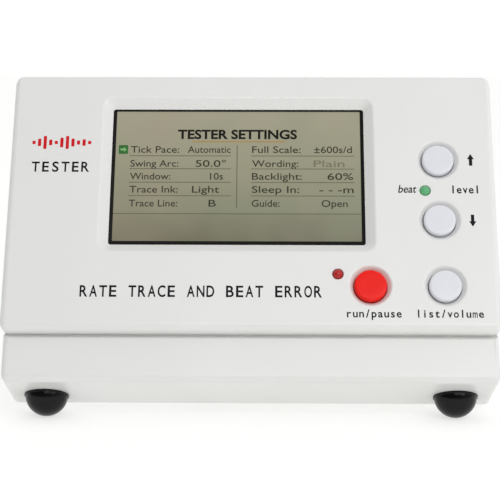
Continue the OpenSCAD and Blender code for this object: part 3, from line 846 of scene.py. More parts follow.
@dataclass
class Housing:
    """Measures that both shells share, with their places read from the frame."""

    wall: float = 2.5
    lip_step: float = 5.0
    shell_step: float = 1.0
    strip_h: float = 17.4
    seam: float = 0.9
    chin_d: float = 32.0
    top_d: float = 26.0
    panel_h: float = 107.5
    shoulder_z: float = 62.0
    fit_gap: float = 0.15
    case_boss_d: float = 8.4
    case_pilot_d: float = 3.1
    case_head_d: float = 6.4
    case_screw_d: float = 3.0
    case_seat: float = 9.0
    screw_boss_d: float = 6.0
    pilot_d: float = 2.5
    chin_r: float = 2.7
    foot_d: float = 16.6
    foot_h: float = 8.3
    foot_rear_d: float = 46.0
    width: float = field(init=False)
    lean: float = field(init=False)
    panel_y: float = field(init=False)
    panel_z: float = field(init=False)
    rear_y: float = field(init=False)

    def __post_init__(self) -> None:
        """Reads the width, the lean and the panel's and rear wall's places from the frame."""
        low, high = (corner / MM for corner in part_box("upper_shell"))
        self.width = high.x - low.x
        self.rear_y = high.y
        self.lean = math.asin(-frame["joints"][0]["axis"][2])
        sine, cosine = math.sin(self.lean), math.cos(self.lean)
        self.panel_z = low.z + self.lip_step * sine
        toe_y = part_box("lower_shell")[0].y / MM - self.chin_r * (sine + cosine - 1)
        self.panel_y = toe_y + (self.strip_h + self.seam) * sine - self.lip_step * cosine

    def side(self, out: float, up: float) -> Vector:
        """Gives Y and Z of a point by its distance out of the panel and up its slope."""
        sine, cosine = math.sin(self.lean), math.cos(self.lean)
        return Vector((self.panel_y + up * sine - out * cosine, self.panel_z + up * cosine + out * sine))

    def at_height(self, out: float, z: float) -> Vector:
        """Gives the point of a plane parallel to the panel that lies at height z."""
        up = (z - self.panel_z - out * math.sin(self.lean)) / math.cos(self.lean)
        return self.side(out, up)

    @property
    def panel(self) -> PanelPlace:
        """The panel's coordinates."""
        return PanelPlace(Vector((0.0, self.panel_y, self.panel_z)), self.lean)

    @property
    def seam_z(self) -> float:
        """Level of the upper shell's lower edge."""
        return self.panel_z - self.lip_step * math.sin(self.lean)

    @property
    def rim_z(self) -> float:
        """Level of the lower shell's upper edge."""
        return self.seam_z - self.seam * math.cos(self.lean)

    @property
    def heel(self) -> Vector:
        """Rear edge of the sloping underside."""
        return self.side(-self.lip_step - self.chin_d, -self.strip_h - self.seam)

    @property
    def lower_rear_y(self) -> float:
        """Rear face of the lower shell."""
        return self.rear_y - self.shell_step

    @property
    def dome_r(self) -> float:
        """Radius of the ball that a foot's dome is part of."""
        return ((self.foot_d / 2) ** 2 + self.foot_h ** 2) / (2 * self.foot_h)

    @property
    def base_tilt(self) -> float:
        """How far the base rises towards the rear, so that all four feet stand level.

        Returns:
            The tilt in radians.
        """
        tilt = 0.1
        dome_in = self.dome_r - self.foot_h
        for _ in range(8):
            climb = self.dome_r - dome_in * math.cos(tilt) - self.heel.y
            tilt = math.atan(climb / (self.foot_rear_d * math.cos(tilt)))
        return tilt

    def inset(self, corners: Sequence[Corner], i: int) -> Corner:
        """Moves a corner of a side outline inwards by the wall.

        Args:
            corners: The outline.
            i: The corner's number.

        Returns:
            The moved corner.
        """
        here = Vector((corners[i].a, corners[i].b))
        before = Vector((corners[i - 1].a, corners[i - 1].b))
        after = Vector((corners[(i + 1) % len(corners)].a, corners[(i + 1) % len(corners)].b))
        first = (here - before).normalized()
        second = (after - here).normalized()
        normals = Vector((-first.y, first.x)), Vector((-second.y, second.x))
        moved = here + self.wall * (normals[0] + normals[1]) / (1 + normals[0].dot(normals[1]))
        return Corner(moved.x, moved.y, max(corners[i].radius - self.wall, 0.4))

    def case_screws(self) -> list[tuple[float, float]]:
        """Places of the four screw columns, seen from above.

        Returns:
            X and Y of each.
        """
        across = self.width / 2 - self.wall - 3.7
        return [(side * across, y) for side in (-1, 1)
                for y in (self.heel.x + 12, self.lower_rear_y - self.wall - 5)]

    def base(self, across: float, back: float) -> Matrix:
        """Gives the matrix of a place on the rising base, with Z square to it and inwards."""
        return (Matrix.Translation((across, self.heel.x, self.heel.y))
                @ Matrix.Rotation(self.base_tilt, 4, "X") @ Matrix.Translation((0, back, 0)))

    def rear(self, across: float, z: float) -> Matrix:
        """Gives the matrix of a place on the rear face, with Z pointing out of it."""
        return Matrix.Translation((across, self.lower_rear_y, z)) @ Matrix.Rotation(-math.pi / 2, 4, "X")


@dataclass
class UpperShell:
    """The upper shell: panel, sides, sloping back and rear wall, with its window, key and lamp holes."""

    housing: Housing
    window: tuple[float, float, float, float] = (-5.55, 64.6, 99.5, 57.8)
    bevel_w: float = 3.8
    bevel_d: float = 3.0
    corner_r: float = 3.75
    edge_r: float = 2.5
    lip_r: float = 3.2
    rear_r: float = 4.0
    back_r: float = 3.0
    key_d: float = 12.4
    key_gap: float = 0.3
    key_ring_d: float = 16.3
    key_ring_t: float = 2.0
    collar_n: float = 3.6
    collar_over: float = 7.0
    frame_over: float = 8.0
    frame_r: float = 4.0
    key_board_n: float = 11.5
    display_board_n: float = 8.1
    display_screws: tuple[float, float] = (56.95, 31.2)
    lamp_hole_d: float = 4.3
    key_places: tuple[tuple[float, float], ...] = ((72.9, 70.4), (72.8, 45.1), (74.0, 18.2), (45.6, 18.2))
    lamp_places: tuple[tuple[float, float], ...] = ((67.5, 57.4), (33.2, 22.8))
    board_screws: tuple[tuple[float, float], ...] = ((84.5, 80), (84.5, 57.8), (59.8, 18.2), (31, 10.5))

    def corners(self) -> list[Corner]:
        """The side outline, anticlockwise from the front lower corner.

        Returns:
            The outline's corners.
        """
        h = self.housing
        low, top, crest, lip = (h.side(-h.lip_step, 0), h.side(-h.top_d, h.panel_h),
                                h.side(0, h.panel_h), h.side(0, 0))
        return [Corner(low.x, low.y), Corner(h.rear_y, h.seam_z, 0, self.rear_r),
                Corner(h.rear_y, h.shoulder_z, 15, self.back_r),
                Corner(top.x, top.y, 8, self.corner_r), Corner(crest.x, crest.y, self.edge_r, self.edge_r),
                Corner(lip.x, lip.y, self.lip_r, self.corner_r)]

    def cavity(self) -> BMesh:
        """The hollow inside, with the bosses and collars standing in it left out.

        Returns:
            The solid to take away.
        """
        h = self.housing
        outline = self.corners()
        low = h.seam_z - 1
        tongue_n = h.lip_step + 1.3 - h.fit_gap
        front, inner, lip = h.at_height(-tongue_n, low), h.side(-h.wall, h.wall), h.side(-tongue_n, h.wall)
        hollow = prism([
            Corner(front.x, front.y), Corner(h.rear_y - h.wall, low), h.inset(outline, 2),
            h.inset(outline, 3), h.inset(outline, 4), Corner(inner.x, inner.y), Corner(lip.x, lip.y)],
            h.width - 2 * h.wall, 4)
        return worked(hollow, Cut.TAKE_AWAY, gather(self.fittings()))

    def display_screw_places(self) -> list[Matrix]:
        """Places of the four bosses that hold the display's board.

        Returns:
            The place of each.
        """
        x, up = self.window[:2]
        across, along = self.display_screws
        return [self.housing.panel.matrix(x + sx * across, up + sy * along)
                for sx in (-1, 1) for sy in (-1, 1)]

    def fittings(self) -> Iterable[tuple[BMesh, Matrix]]:
        """The window's collar, the keys' collars, and the bosses for the boards' and case's screws.

        Yields:
            The solids, each with its place.
        """
        h, panel = self.housing, self.housing.panel
        x, up, width, height = self.window
        yield (plate(width + self.frame_over, height + self.frame_over, self.frame_r, self.bevel_d + 1),
               panel.matrix(x, up, -self.bevel_d))
        for place in self.key_places:
            yield rod(self.key_d + self.collar_over, -self.collar_n, 1), panel.matrix(*place)
        for place in self.board_screws:
            yield rod(h.screw_boss_d, -self.key_board_n, 1), panel.matrix(*place)
        for place in self.display_screw_places():
            yield rod(h.screw_boss_d, 0.05 - self.display_board_n, 1), place
        for sx, y in h.case_screws():
            yield rod(h.case_boss_d, h.seam_z - 2, h.seam_z + 16), Matrix.Translation((sx, y, 0))

    def window_section(self) -> list[Vector]:
        """The window's opening: straight at the back, then the sloping bevel with a softened brim.

        Returns:
            Outset and level of each point.
        """
        brim = 0.002
        return rounded_section([
            Corner(0, -self.bevel_d - self.housing.wall), Corner(0, -self.bevel_d, 0.35),
            Corner(self.bevel_w, brim, 1.5), Corner(self.bevel_w + 1.5, brim),
            Corner(self.bevel_w + 1.5, 1)], 6)

    def key_hole(self) -> BMesh:
        """A key's hole with its countersink, both edges softened.

        Returns:
            The solid to take away.
        """
        hole_r, ring_r, brim = self.key_d / 2 + self.key_gap, self.key_ring_d / 2, 0.002
        return revolve([
            Corner(0, -self.collar_n - 1), Corner(hole_r, -self.collar_n - 1),
            Corner(hole_r, -self.key_ring_t, 0.35), Corner(ring_r, brim, 0.9),
            Corner(ring_r + 1.2, brim), Corner(ring_r + 1.2, 1), Corner(0, 1)], 96)

    def openings(self) -> Iterable[tuple[BMesh, Matrix]]:
        """Everything that is cut through the shell or into its bosses.

        Yields:
            The solids, each with its place.
        """
        h, panel = self.housing, self.housing.panel
        x, up, width, height = self.window
        yield funnel(width, height, 1.0, self.window_section()), panel.matrix(x, up)
        for place in self.key_places:
            yield self.key_hole(), panel.matrix(*place)
        hole_r = self.lamp_hole_d / 2
        for place in self.lamp_places:
            yield revolve([Corner(0, -h.wall - 1), Corner(hole_r, -h.wall - 1), Corner(hole_r, 0.002, 0.25),
                           Corner(hole_r + 0.4, 0.002), Corner(hole_r + 0.4, 1), Corner(0, 1)],
                          48, 3), panel.matrix(*place)
        for place in self.board_screws:
            yield rod(h.pilot_d, -self.key_board_n - 1, 6 - self.key_board_n, 24), panel.matrix(*place)
        for place in self.display_screw_places():
            yield rod(h.pilot_d, -self.display_board_n - 1, -2.9, 24), place
        for sx, y in h.case_screws():
            yield rod(h.case_pilot_d, h.seam_z - 3, h.seam_z + 12, 24), Matrix.Translation((sx, y, 0))

    def build(self, finish: Finish) -> bpy.types.Object:
        """Builds the shell and dresses it.

        Args:
            finish: What it is made of.

        Returns:
            The finished shell.
        """
        body = worked(prism(self.corners(), self.housing.width), Cut.TAKE_AWAY, self.cavity())
        body = worked(body, Cut.TAKE_AWAY, gather(self.openings()))
        return finished("housing_upper_shell", body, finish, Slot.SHELL, stands_for=["upper_shell"],
                        steady=True)


@dataclass
class LowerShell:
    """The lower shell: front strip, sloping chin, base, and the tongue that enters the upper shell."""

    housing: Housing
    heel_r: float = 3.0
    base_r: float = 4.0
    strip_r: float = 1.5
    edge_r: float = 2.5
    rear_r: float = 3.0
    side_r: float = 2.0
    tongue_h: float = 2.6
    stem_hole_d: float = 5.3
    foot_x: float = 79.0
    foot_front_d: float = 20.0
    board_centre: tuple[float, float] = (20.0, 15.2)
    board_screws: tuple[float, float] = (56.0, 23.0)
    board_z: float = 17.0
    speaker: tuple[float, float, float] = (-60.0, 31.0, 36.0)
    speaker_seat: float = 3.8
    speaker_boss_d: float = 5.0
    speaker_pilot_d: float = 1.9
    slot_w: float = 2.2
    slot_pitch: float = 4.4
    mic: tuple[float, float, float] = (62.0, 23.6, 6.3)
    power: tuple[float, float, float] = (24.0, 25.1, 8.3)

    def corners(self) -> list[Corner]:
        """The side outline, anticlockwise from the front lower edge.

        Returns:
            The outline's corners.
        """
        h = self.housing
        toe, top = h.side(-h.lip_step, -h.strip_h - h.seam), h.at_height(-h.lip_step, h.rim_z)
        rear_low_z = h.heel.y + (h.lower_rear_y - h.heel.x) * math.tan(h.base_tilt)
        return [Corner(toe.x, toe.y, h.chin_r, h.chin_r),
                Corner(h.heel.x, h.heel.y, self.heel_r, self.side_r),
                Corner(h.lower_rear_y, rear_low_z, self.base_r, self.rear_r),
                Corner(h.lower_rear_y, h.rim_z), Corner(top.x, top.y, self.strip_r, self.edge_r)]

    def cavity(self) -> BMesh:
        """The hollow inside and above, with what stands in it left out.

        Returns:
            The solid to take away.
        """
        h = self.housing
        outline = self.corners()
        top = h.rim_z + 20
        front = h.at_height(-h.lip_step - h.wall, top)
        hollow = prism([h.inset(outline, 0), h.inset(outline, 1), h.inset(outline, 2),
                        Corner(h.lower_rear_y - h.wall, top), Corner(front.x, front.y)],
                       h.width - 2 * (h.shell_step + h.wall), 4)
        return worked(hollow, Cut.TAKE_AWAY, gather(self.fittings()))

    def fittings(self) -> Iterable[tuple[BMesh, Matrix]]:
        """Bosses for the main board, the case and the speaker, and the speaker's ring wall.

        Yields:
            The solids, each with its place.
        """
        h = self.housing
        for sx in (-1, 1):
            for sy in (-1, 1):
                yield rod(h.screw_boss_d, 0, self.board_z - 0.05), self.on_board(sx, sy)
        for x, y in h.case_screws():
            yield rod(h.case_boss_d, 0, h.rim_z), Matrix.Translation((x, y, 0))
        x, back, diameter = self.speaker
        inner, outer = diameter / 2 + 0.3, diameter / 2 + 1.9
        ring_h = self.speaker_seat - 0.3
        ring = revolve([Corner(0, 0), Corner(inner, 0), Corner(outer, 0), Corner(outer, ring_h),
                        Corner(inner, ring_h), Corner(inner, h.wall), Corner(0, h.wall)])
        yield ring, h.base(x, back)
        for place in self.speaker_screw_places():
            yield rod(self.speaker_boss_d, 0, self.speaker_seat), place

    def speaker_screw_places(self) -> list[Matrix]:
        """Places of the three screws round the speaker.

        Returns:
            The place of each.
        """
        x, back, diameter = self.speaker
        return [self.housing.base(x, back) @ Matrix.Rotation(math.radians(turn), 4, "Z")
                @ Matrix.Translation((diameter / 2 + 3, 0, 0)) for turn in (90, 210, 330)]

    def on_board(self, sx: int, sy: int) -> Matrix:
        """Place of one of the main board's screws."""
        return Matrix.Translation((self.board_centre[0] + sx * self.board_screws[0],
                                   self.board_centre[1] + sy * self.board_screws[1], 0))

    def tongue(self) -> BMesh:
        """The wall that stands up inside the upper shell.

        Returns:
            The closed solid.
        """
        h = self.housing
        low, high, back = h.rim_z - h.wall, h.rim_z + self.tongue_h, h.rear_y - h.wall - h.fit_gap
        front_n = -h.lip_step - 1.3
        front = h.at_height(front_n, low), h.at_height(front_n, high)
        return prism([Corner(front[0].x, low), Corner(back, low), Corner(back, high),
                      Corner(front[1].x, high)], h.width - 2 * (h.wall + h.fit_gap))

    def openings(self) -> Iterable[tuple[BMesh, Matrix]]:
        """Everything that is cut through the shell or into its bosses.

        Yields:
            The solids, each with its place.
        """
        h = self.housing
        for x, y in h.case_screws():
            place = Matrix.Translation((x, y, h.rim_z))
            yield rod(h.case_screw_d + 0.4, -h.case_seat - 1, 1, 32), place.copy()
            yield rod(h.case_head_d, -40, -h.case_seat), place.copy()
            yield rod(h.case_boss_d + 2, 0, 12), place
        for side in (-1, 1):
            yield rod(self.stem_hole_d, -h.wall - 1, 1), self.under_chin(side)
            yield rod(self.stem_hole_d, -1, h.wall + 1), h.base(side * self.foot_x, h.foot_rear_d)
            for sy in (-1, 1):
                yield rod(h.pilot_d, self.board_z - 6, self.board_z + 1, 24), self.on_board(side, sy)
        for place in self.speaker_screw_places():
            yield rod(self.speaker_pilot_d, 1, self.speaker_seat + 1, 24), place
        x, back, diameter = self.speaker
        for i in range(-2, 3):
            reach = math.sqrt((diameter * 0.36) ** 2 - (i * self.slot_pitch) ** 2)
            yield (plate(self.slot_w, 2 * reach, self.slot_w / 2 - 0.05, h.wall + 1.5),
                   h.base(x + i * self.slot_pitch, back) @ Matrix.Translation((0, 0, -1)))
        for x, z, diameter in (self.mic, self.power):
            yield rod(diameter, -h.wall - 1, 1), h.rear(x, z)

    def under_chin(self, side: int) -> Matrix:
        """Place of a front foot on the sloping underside, with Z pointing away from the shell.

        Args:
            side: -1 for the left one and 1 for the right one.

        Returns:
            The place.
        """
        h = self.housing
        place = h.panel.matrix(side * self.foot_x, -h.strip_h - h.seam, -h.lip_step - self.foot_front_d)
        return place @ Matrix.Rotation(math.pi / 2, 4, "X")

    def build(self, finish: Finish) -> bpy.types.Object:
        """Builds the shell and dresses it.

        Args:
            finish: What it is made of.

        Returns:
            The finished shell.
        """
        body = prism(self.corners(), self.housing.width - 2 * self.housing.shell_step)
        body = worked(body, Cut.JOIN, self.tongue())
        body = worked(body, Cut.TAKE_AWAY, self.cavity())
        body = worked(body, Cut.TAKE_AWAY, gather(self.openings()))
        return finished("housing_lower_shell", body, finish, Slot.SHELL, stands_for=["lower_shell"],
                        steady=True)


@dataclass
class Feet:
    """Four domed feet, each held by its barbed stem."""

    housing: Housing
    lower: LowerShell
    stem_d: float = 5.0
    rim_t: float = 1.1
    brim: float = 0.35
    barb: float = 1.2

    def section(self) -> list[Corner]:
        """Half of a foot's section, from the tip of its stem to the top of its dome.

        Returns:
            The section's corners.
        """
        h = self.housing
        stem, depth, rim = self.stem_d / 2, h.wall + self.barb, h.foot_d / 2 + self.brim
        dome_in = h.dome_r - h.foot_h
        low = math.asin((self.rim_t - 0.15 + dome_in) / h.dome_r)
        steps = 18
        arc = [low + (math.pi / 2 - low) * i / steps for i in range(steps + 1)]
        dome = [Corner(h.dome_r * math.cos(a), h.dome_r * math.sin(a) - dome_in) for a in arc]
        dome[-1] = Corner(0, h.foot_h)
        tip, barb_r, barb_top = -depth - 1.6, stem + 0.5, -h.wall - 0.2
        return [Corner(0, tip), Corner(stem - 0.6, tip, 0.3), Corner(barb_r, 0.6 - depth),
                Corner(barb_r, barb_top), Corner(stem, barb_top), Corner(stem, 0),
                Corner(rim, 0, 0.2), Corner(rim, self.rim_t - 0.2, 0.3), *dome]

    def build(self, finish: Finish) -> None:
        """Builds the four feet and dresses them.

        Args:
            finish: What they are made of.
        """
        h = self.housing
        for side, hand in ((-1, "left"), (1, "right")):
            rear = h.base(side * self.lower.foot_x, h.foot_rear_d) @ Matrix.Rotation(math.pi, 4, "X")
            for end, place in (("front", self.lower.under_chin(side)), ("rear", rear)):
                dome = revolve(self.section(), 96)
                dome.transform(place)
                finished(f"rubber_foot_{end}_{hand}", dome, finish, Slot.RUBBER,
                         stands_for=[f"foot_{end}_{hand}"], sharp_deg=40)


@dataclass
class Keys:
    """Four key caps, each a round button with a flange behind the panel."""

    panel: PanelPlace
    upper: UpperShell
    back_n: float = 5.1
    proud: float = 0.6
    round_r: float = 0.8
    flange_over: float = 1.2
    flange_t: float = 1.2

    def cap(self) -> BMesh:
        """A cap with its rounded brim, standing on its back.

        Returns:
            The closed solid.
        """
        r, top = self.upper.key_d / 2, self.back_n + self.proud
        return revolve([
            Corner(0, 0), Corner(r + self.flange_over, 0, 0.15),
            Corner(r + self.flange_over, self.flange_t, 0.15), Corner(r, self.flange_t, 0.2),
            Corner(r, top, self.round_r), Corner(r * 0.6, top), Corner(0, top)], 96, 8)

    def build(self, white: Finish, red: Finish) -> None:
        """Builds each cap on the body that it moves with.

        Args:
            white: Finish of the plain caps.
            red: Finish of the start key's cap.
        """
        for name, place in zip(("up", "down", "menu", "start"), self.upper.key_places):
            finish, slot = (red, Slot.KEY_RED) if name == "start" else (white, Slot.KEY_WHITE)
            cap = self.cap()
            cap.transform(self.panel.matrix(*place, -self.back_n))
            finished(f"cap_{name}", cap, finish, slot, f"{name}_key", [f"key_{name}"], sharp_deg=50)


@dataclass
class Lamps:
    """Two round signal lamps with their flanges and leads."""

    panel: PanelPlace
    upper: UpperShell
    diameter: float = 4.0
    length: float = 8.6
    proud: float = 1.3
    flange: float = 0.4
    lead_d: float = 0.5
    lead_spacing: float = 2.54

    def lamp(self) -> Iterable[tuple[BMesh, Matrix]]:
        """The body with its dome, standing on its back, and its leads.

        Yields:
            The solids, each with its place.
        """
        r = self.diameter / 2
        steps = 10
        dome = [Corner(r * math.cos(a), self.length - r + r * math.sin(a))
                for a in (math.pi / 2 * i / steps for i in range(steps))]
        yield revolve([Corner(0, 0), Corner(r + self.flange, 0, 0.1), Corner(r + self.flange, 1, 0.1),
                       Corner(r, 1), *dome, Corner(0, self.length)], 64), Matrix()
        lead_l = self.upper.key_board_n - self.length + self.proud
        for side in (-1, 1):
            yield rod(self.lead_d, -lead_l, 0.5, 12), Matrix.Translation((side * self.lead_spacing / 2, 0, 0))

    def build(self, green: Finish, red: Finish) -> None:
        """Builds the two lamps in their places.

        Args:
            green: Finish of the signal lamp.
            red: Finish of the run lamp.
        """
        kinds = (("signal", green, Slot.LAMP_GREEN), ("run", red, Slot.LAMP_RED))
        for (name, finish, slot), place in zip(kinds, self.upper.lamp_places):
            whole = gather(self.lamp())
            whole.transform(self.panel.matrix(*place, self.proud - self.length))
            finished(f"lamp_body_{name}", whole, finish, slot, stands_for=[f"lamp_{name}"], sharp_deg=40)


# ---------------------------------------------------------------- lettering and signs

@dataclass
class Lettering:
    """Flat letters and signs on the panel or on the display, each a thin closed solid."""

    panel: PanelPlace
    level: float
    thickness: float
    cap_share: float = 0.729

    def shapes(self, text: str, weight: float) -> BMesh:
        """Gives a text's letters with capitals one unit high, lying on Z = 0.

        Args:
            text: The letters.
            weight: How far each outline is moved outwards.

        Returns:
            The letters' solids.
        """
        curve = bpy.data.curves.new("letters", "FONT")
        curve.body = text
        curve.offset = weight
        curve.extrude = 0.5
        curve.resolution_u = 4
        holder = bpy.data.objects.new("letters", curve)
        bpy.context.scene.collection.objects.link(holder)
        mesh = bpy.data.meshes.new_from_object(holder.evaluated_get(bpy.context.evaluated_depsgraph_get()))
        bm = bmesh.new()
        bm.from_mesh(mesh)
        bpy.data.objects.remove(holder)
        bpy.data.curves.remove(curve)
        bpy.data.meshes.remove(mesh)
        bmesh.ops.scale(bm, vec=(1 / self.cap_share, 1 / self.cap_share, 1), verts=bm.verts)
        return tidied(bm)

    def on_panel(self, bm: BMesh, across: float, up: float) -> tuple[BMesh, Matrix]:
        """Gives the letters a place, with their thickness about the level."""
        bmesh.ops.scale(bm, vec=(1, 1, self.thickness), verts=bm.verts)
        return bm, self.panel.matrix(across, up, self.level)

    def line(self, text: str, left: float, right: float, baseline: float, cap_h: float,
             weight: float = 0.01, slant: float = 0.0) -> Iterable[tuple[BMesh, Matrix]]:
        """Sets a line of text between a left and a right end.

        Args:
            text: The words.
            left: Where the first letter starts, across the panel.
            right: Where the last letter ends.
            baseline: Height of the line up the panel.
            cap_h: Height of its capitals.
            weight: How far each outline is moved outwards, as a share of the letter size.
            slant: How far the top leans to the right, as a share of the height.

        Yields:
            The letters and their place.
        """
        bm = self.shapes(text, weight)
        if slant:
            bmesh.ops.transform(bm, matrix=Matrix(((1, slant, 0, 0), (0, 1, 0, 0), (0, 0, 1, 0),
                                                   (0, 0, 0, 1))), verts=bm.verts)
        low = min(v.co.x for v in bm.verts)
        high = max(v.co.x for v in bm.verts)
        bmesh.ops.translate(bm, vec=(-low, 0, 0), verts=bm.verts)
        bmesh.ops.scale(bm, vec=((right - left) / (high - low), cap_h, 1), verts=bm.verts)
        yield self.on_panel(bm, left, baseline)

    def even_line(self, text: str, left: float, baseline: float, cap_h: float, pitch: float,
                  weight: float = 0.018, fill: float = 0.8) -> Iterable[tuple[BMesh, Matrix]]:
        """Sets a line whose letters all stand the same distance apart, as a typewriter's do.

        Args:
            text: The words.
            left: Left edge of the first letter's field.
            baseline: Height of the line up the panel.
            cap_h: Height of its capitals.
            pitch: Distance from letter to letter.
            weight: How far each outline is moved outwards.
            fill: The share of its field that a wide letter fills.

        Yields:
            Each letter and its place.
        """
        for i, letter in enumerate(text):
            if letter == " ":
                continue
            bm = self.shapes(letter, weight)
            low = min(v.co.x for v in bm.verts)
            high = max(v.co.x for v in bm.verts)
            width = min((high - low) * cap_h, fill * pitch)
            bmesh.ops.translate(bm, vec=(-(low + high) / 2, 0, 0), verts=bm.verts)
            bmesh.ops.scale(bm, vec=(width / (high - low), cap_h, 1), verts=bm.verts)
            yield self.on_panel(bm, left + (i + 0.5) * pitch, baseline)

    def bar(self, left: float, right: float, low: float, high: float,
            radius: float = 0.0) -> tuple[BMesh, Matrix]:
        """Makes a flat bar between four edges.

        Args:
            left: Its left edge.
            right: Its right edge.
            low: Its lower edge.
            high: Its upper edge.
            radius: Its corner radius.

        Returns:
            The bar and its place.
        """
        return self.on_panel(plate(right - left, high - low, radius, 1), (left + right) / 2, (low + high) / 2)

    def arrow(self, across: float, low: float, high: float, head_w: float,
              stem_w: float) -> Iterable[tuple[BMesh, Matrix]]:
        """Makes an upright arrow that points from low to high.

        Args:
            across: Where it stands across the panel.
            low: Where its stem starts.
            high: Where its tip is.
            head_w: Width of its head.
            stem_w: Width of its stem.

        Yields:
            Its head and its stem, each with its place.
        """
        tip = (high - low) * 0.45
        head = bmesh.new()
        bmesh.ops.create_cone(head, cap_ends=True, segments=3, radius1=1, radius2=1, depth=1,
                              matrix=Matrix.Translation((0, 0, 0.5)))
        bmesh.ops.translate(head, vec=(0, -1, 0), verts=head.verts)
        tall = max(v.co.y for v in head.verts) - min(v.co.y for v in head.verts)
        wide = max(v.co.x for v in head.verts) - min(v.co.x for v in head.verts)
        top = max(v.co.y for v in head.verts)
        bmesh.ops.translate(head, vec=(0, -top, 0), verts=head.verts)
        bmesh.ops.scale(head, vec=(head_w / wide, tip / tall, 1), verts=head.verts)
        bmesh.ops.recalc_face_normals(head, faces=head.faces)
        yield self.on_panel(head, across, high)
        ends = sorted((low, high - tip * 0.9))
        yield self.bar(across - stem_w / 2, across + stem_w / 2, *ends)


# ---------------------------------------------------------------- finishes

# Moulded ABS from a lightly spark-textured tool: even satin white with soft, broad highlights.
WHITE_ABS = Finish("moulded white ABS", "#e4e4e3", "#e1e1df", 0.31, 0.02, 1.53, drift_mm=45.0,
                   grain_mm=0.7, grain_depth_mm=0.0025)
# The same plastic from a polished tool, a little bluer: the rims of the caps catch a clear line of light.
KEY_ABS = Finish("polished white ABS", "#dddee4", "#d9dae1", 0.3, 0.02, 1.53, drift_mm=9.0,
                 grain_mm=0.9, grain_depth_mm=0.002)
# Dyed through and polished: an even strong red that stays red in its highlights.
RED_ABS = Finish("polished red ABS", "#ee1507", "#e71205", 0.3, 0.02, 1.53, drift_mm=9.0,
                 grain_mm=0.9, grain_depth_mm=0.002, specular=0.22)
# Moulded nitrile rubber: deep black with a wet-looking gloss, and a little dust that greys it.
BLACK_RUBBER = Speckled("moulded nitrile rubber", "#09090b", "#0e0e11", 0.16, 0.04, 1.52, drift_mm=8.0,
                        grain_mm=1.1, grain_depth_mm=0.006, specular=0.2, fleck="#2a2a2e",
                        fleck_mm=0.8, fleck_share=0.04)
# Zinc plating: pale grey metal with faint turning marks.
ZINC = Finish("zinc plated steel", "#b9bbbf", "#a6a8ae", 0.34, 0.08, metallic=1.0, drift_mm=3.0,
              grain_mm=0.5, grain_depth_mm=0.006, stretch=(1.0, 1.0, 6.0))
# Bright nickel plating: mirror-like with slight clouding.
NICKEL = Finish("nickel plated brass", "#cfcbc2", "#b9b6ae", 0.2, 0.07, metallic=1.0, drift_mm=3.0,
                grain_mm=0.4, grain_depth_mm=0.004, stretch=(1.0, 6.0, 1.0))
# Hot-dipped tin plate: duller, in broad crystals.
TIN = Finish("tin plate", "#b4b6b6", "#9b9e9f", 0.38, 0.1, metallic=1.0, drift_mm=5.0,
             grain_mm=1.5, grain_depth_mm=0.01)
# Closed-cell foam: soft black full of tiny bubbles.
FOAM = Speckled("polyurethane foam", "#1c1c1d", "#262627", 0.9, 0.05, 1.4, drift_mm=4.0, grain_mm=0.5,
                grain_depth_mm=0.08, fleck="#3b3b3c", fleck_mm=0.5)
# Stove-enamelled sheet steel: near black with a low sheen that lights up along folded edges.
BLACK_ENAMEL = Finish("black enamelled steel", "#070706", "#0b0b08", 0.3, 0.06, 1.5, drift_mm=10.0,
                      grain_mm=0.6, grain_depth_mm=0.006, specular=0.16)
# Cast acrylic that spreads the light: milky and smooth.
LIGHT_GUIDE = Finish("frosted acrylic", "#f1eee2", "#e8e4d6", 0.45, 0.06, 1.49, drift_mm=12.0,
                     grain_mm=0.8, grain_depth_mm=0.01)
# Glass-fibre board under solder mask: glossy green with tracks showing through and tinned pads.
BOARD = PrintedBoard("solder masked glass-fibre", "#155c38", "#114d30", 0.3, 0.06, 1.55, drift_mm=20.0,
                     grain_mm=0.5, grain_depth_mm=0.01)
# Filled epoxy moulding compound: dull black with pale filler flecks.
CHIP_EPOXY = Speckled("filled epoxy moulding", "#18191b", "#202123", 0.55, 0.06, 1.55, drift_mm=5.0,
                      grain_mm=0.3, grain_depth_mm=0.01, fleck="#4c4e52", fleck_mm=0.35)
# Natural nylon: warm ivory, slightly waxy.
NYLON = Finish("natural nylon", "#e7dfc8", "#ddd3b8", 0.42, 0.06, 1.53, drift_mm=6.0, grain_mm=0.5,
               grain_depth_mm=0.008)
# Polyester ribbon over tinned conductors: pale with grey lines along it.
FLAT_RIBBON = Striped("polyester ribbon cable", "#dcdcd6", "#d0d0ca", 0.35, 0.05, 1.57, drift_mm=10.0,
                      grain_mm=0.6, grain_depth_mm=0.01)
# Black switch housings: glass-filled nylon with a coarse matt grain.
SWITCH_NYLON = Speckled("glass-filled nylon", "#232528", "#2b2d31", 0.5, 0.06, 1.53, drift_mm=4.0,
                        grain_mm=0.3, grain_depth_mm=0.012, fleck="#595c61", fleck_mm=0.3)
# Acetal plungers: dense creamy white with a slippery sheen.
ACETAL = Finish("moulded acetal", "#e6e1d2", "#ddd7c6", 0.3, 0.05, 1.48, drift_mm=4.0, grain_mm=0.5,
                grain_depth_mm=0.004)
# Shrunk PVC sleeve: dark blue with a pale band repeated round the can.
SLEEVE = Striped("shrunk PVC sleeve", "#232b4c", "#1d2442", 0.3, 0.05, 1.53, drift_mm=6.0, grain_mm=0.5,
                 grain_depth_mm=0.006, line="#8a93b4", pitch_mm=8.0)
# Pressed and painted speaker frame.
FRAME_STEEL = Finish("painted pressed steel", "#33363b", "#2b2e32", 0.42, 0.07, 1.5, drift_mm=6.0,
                     grain_mm=0.4, grain_depth_mm=0.01)
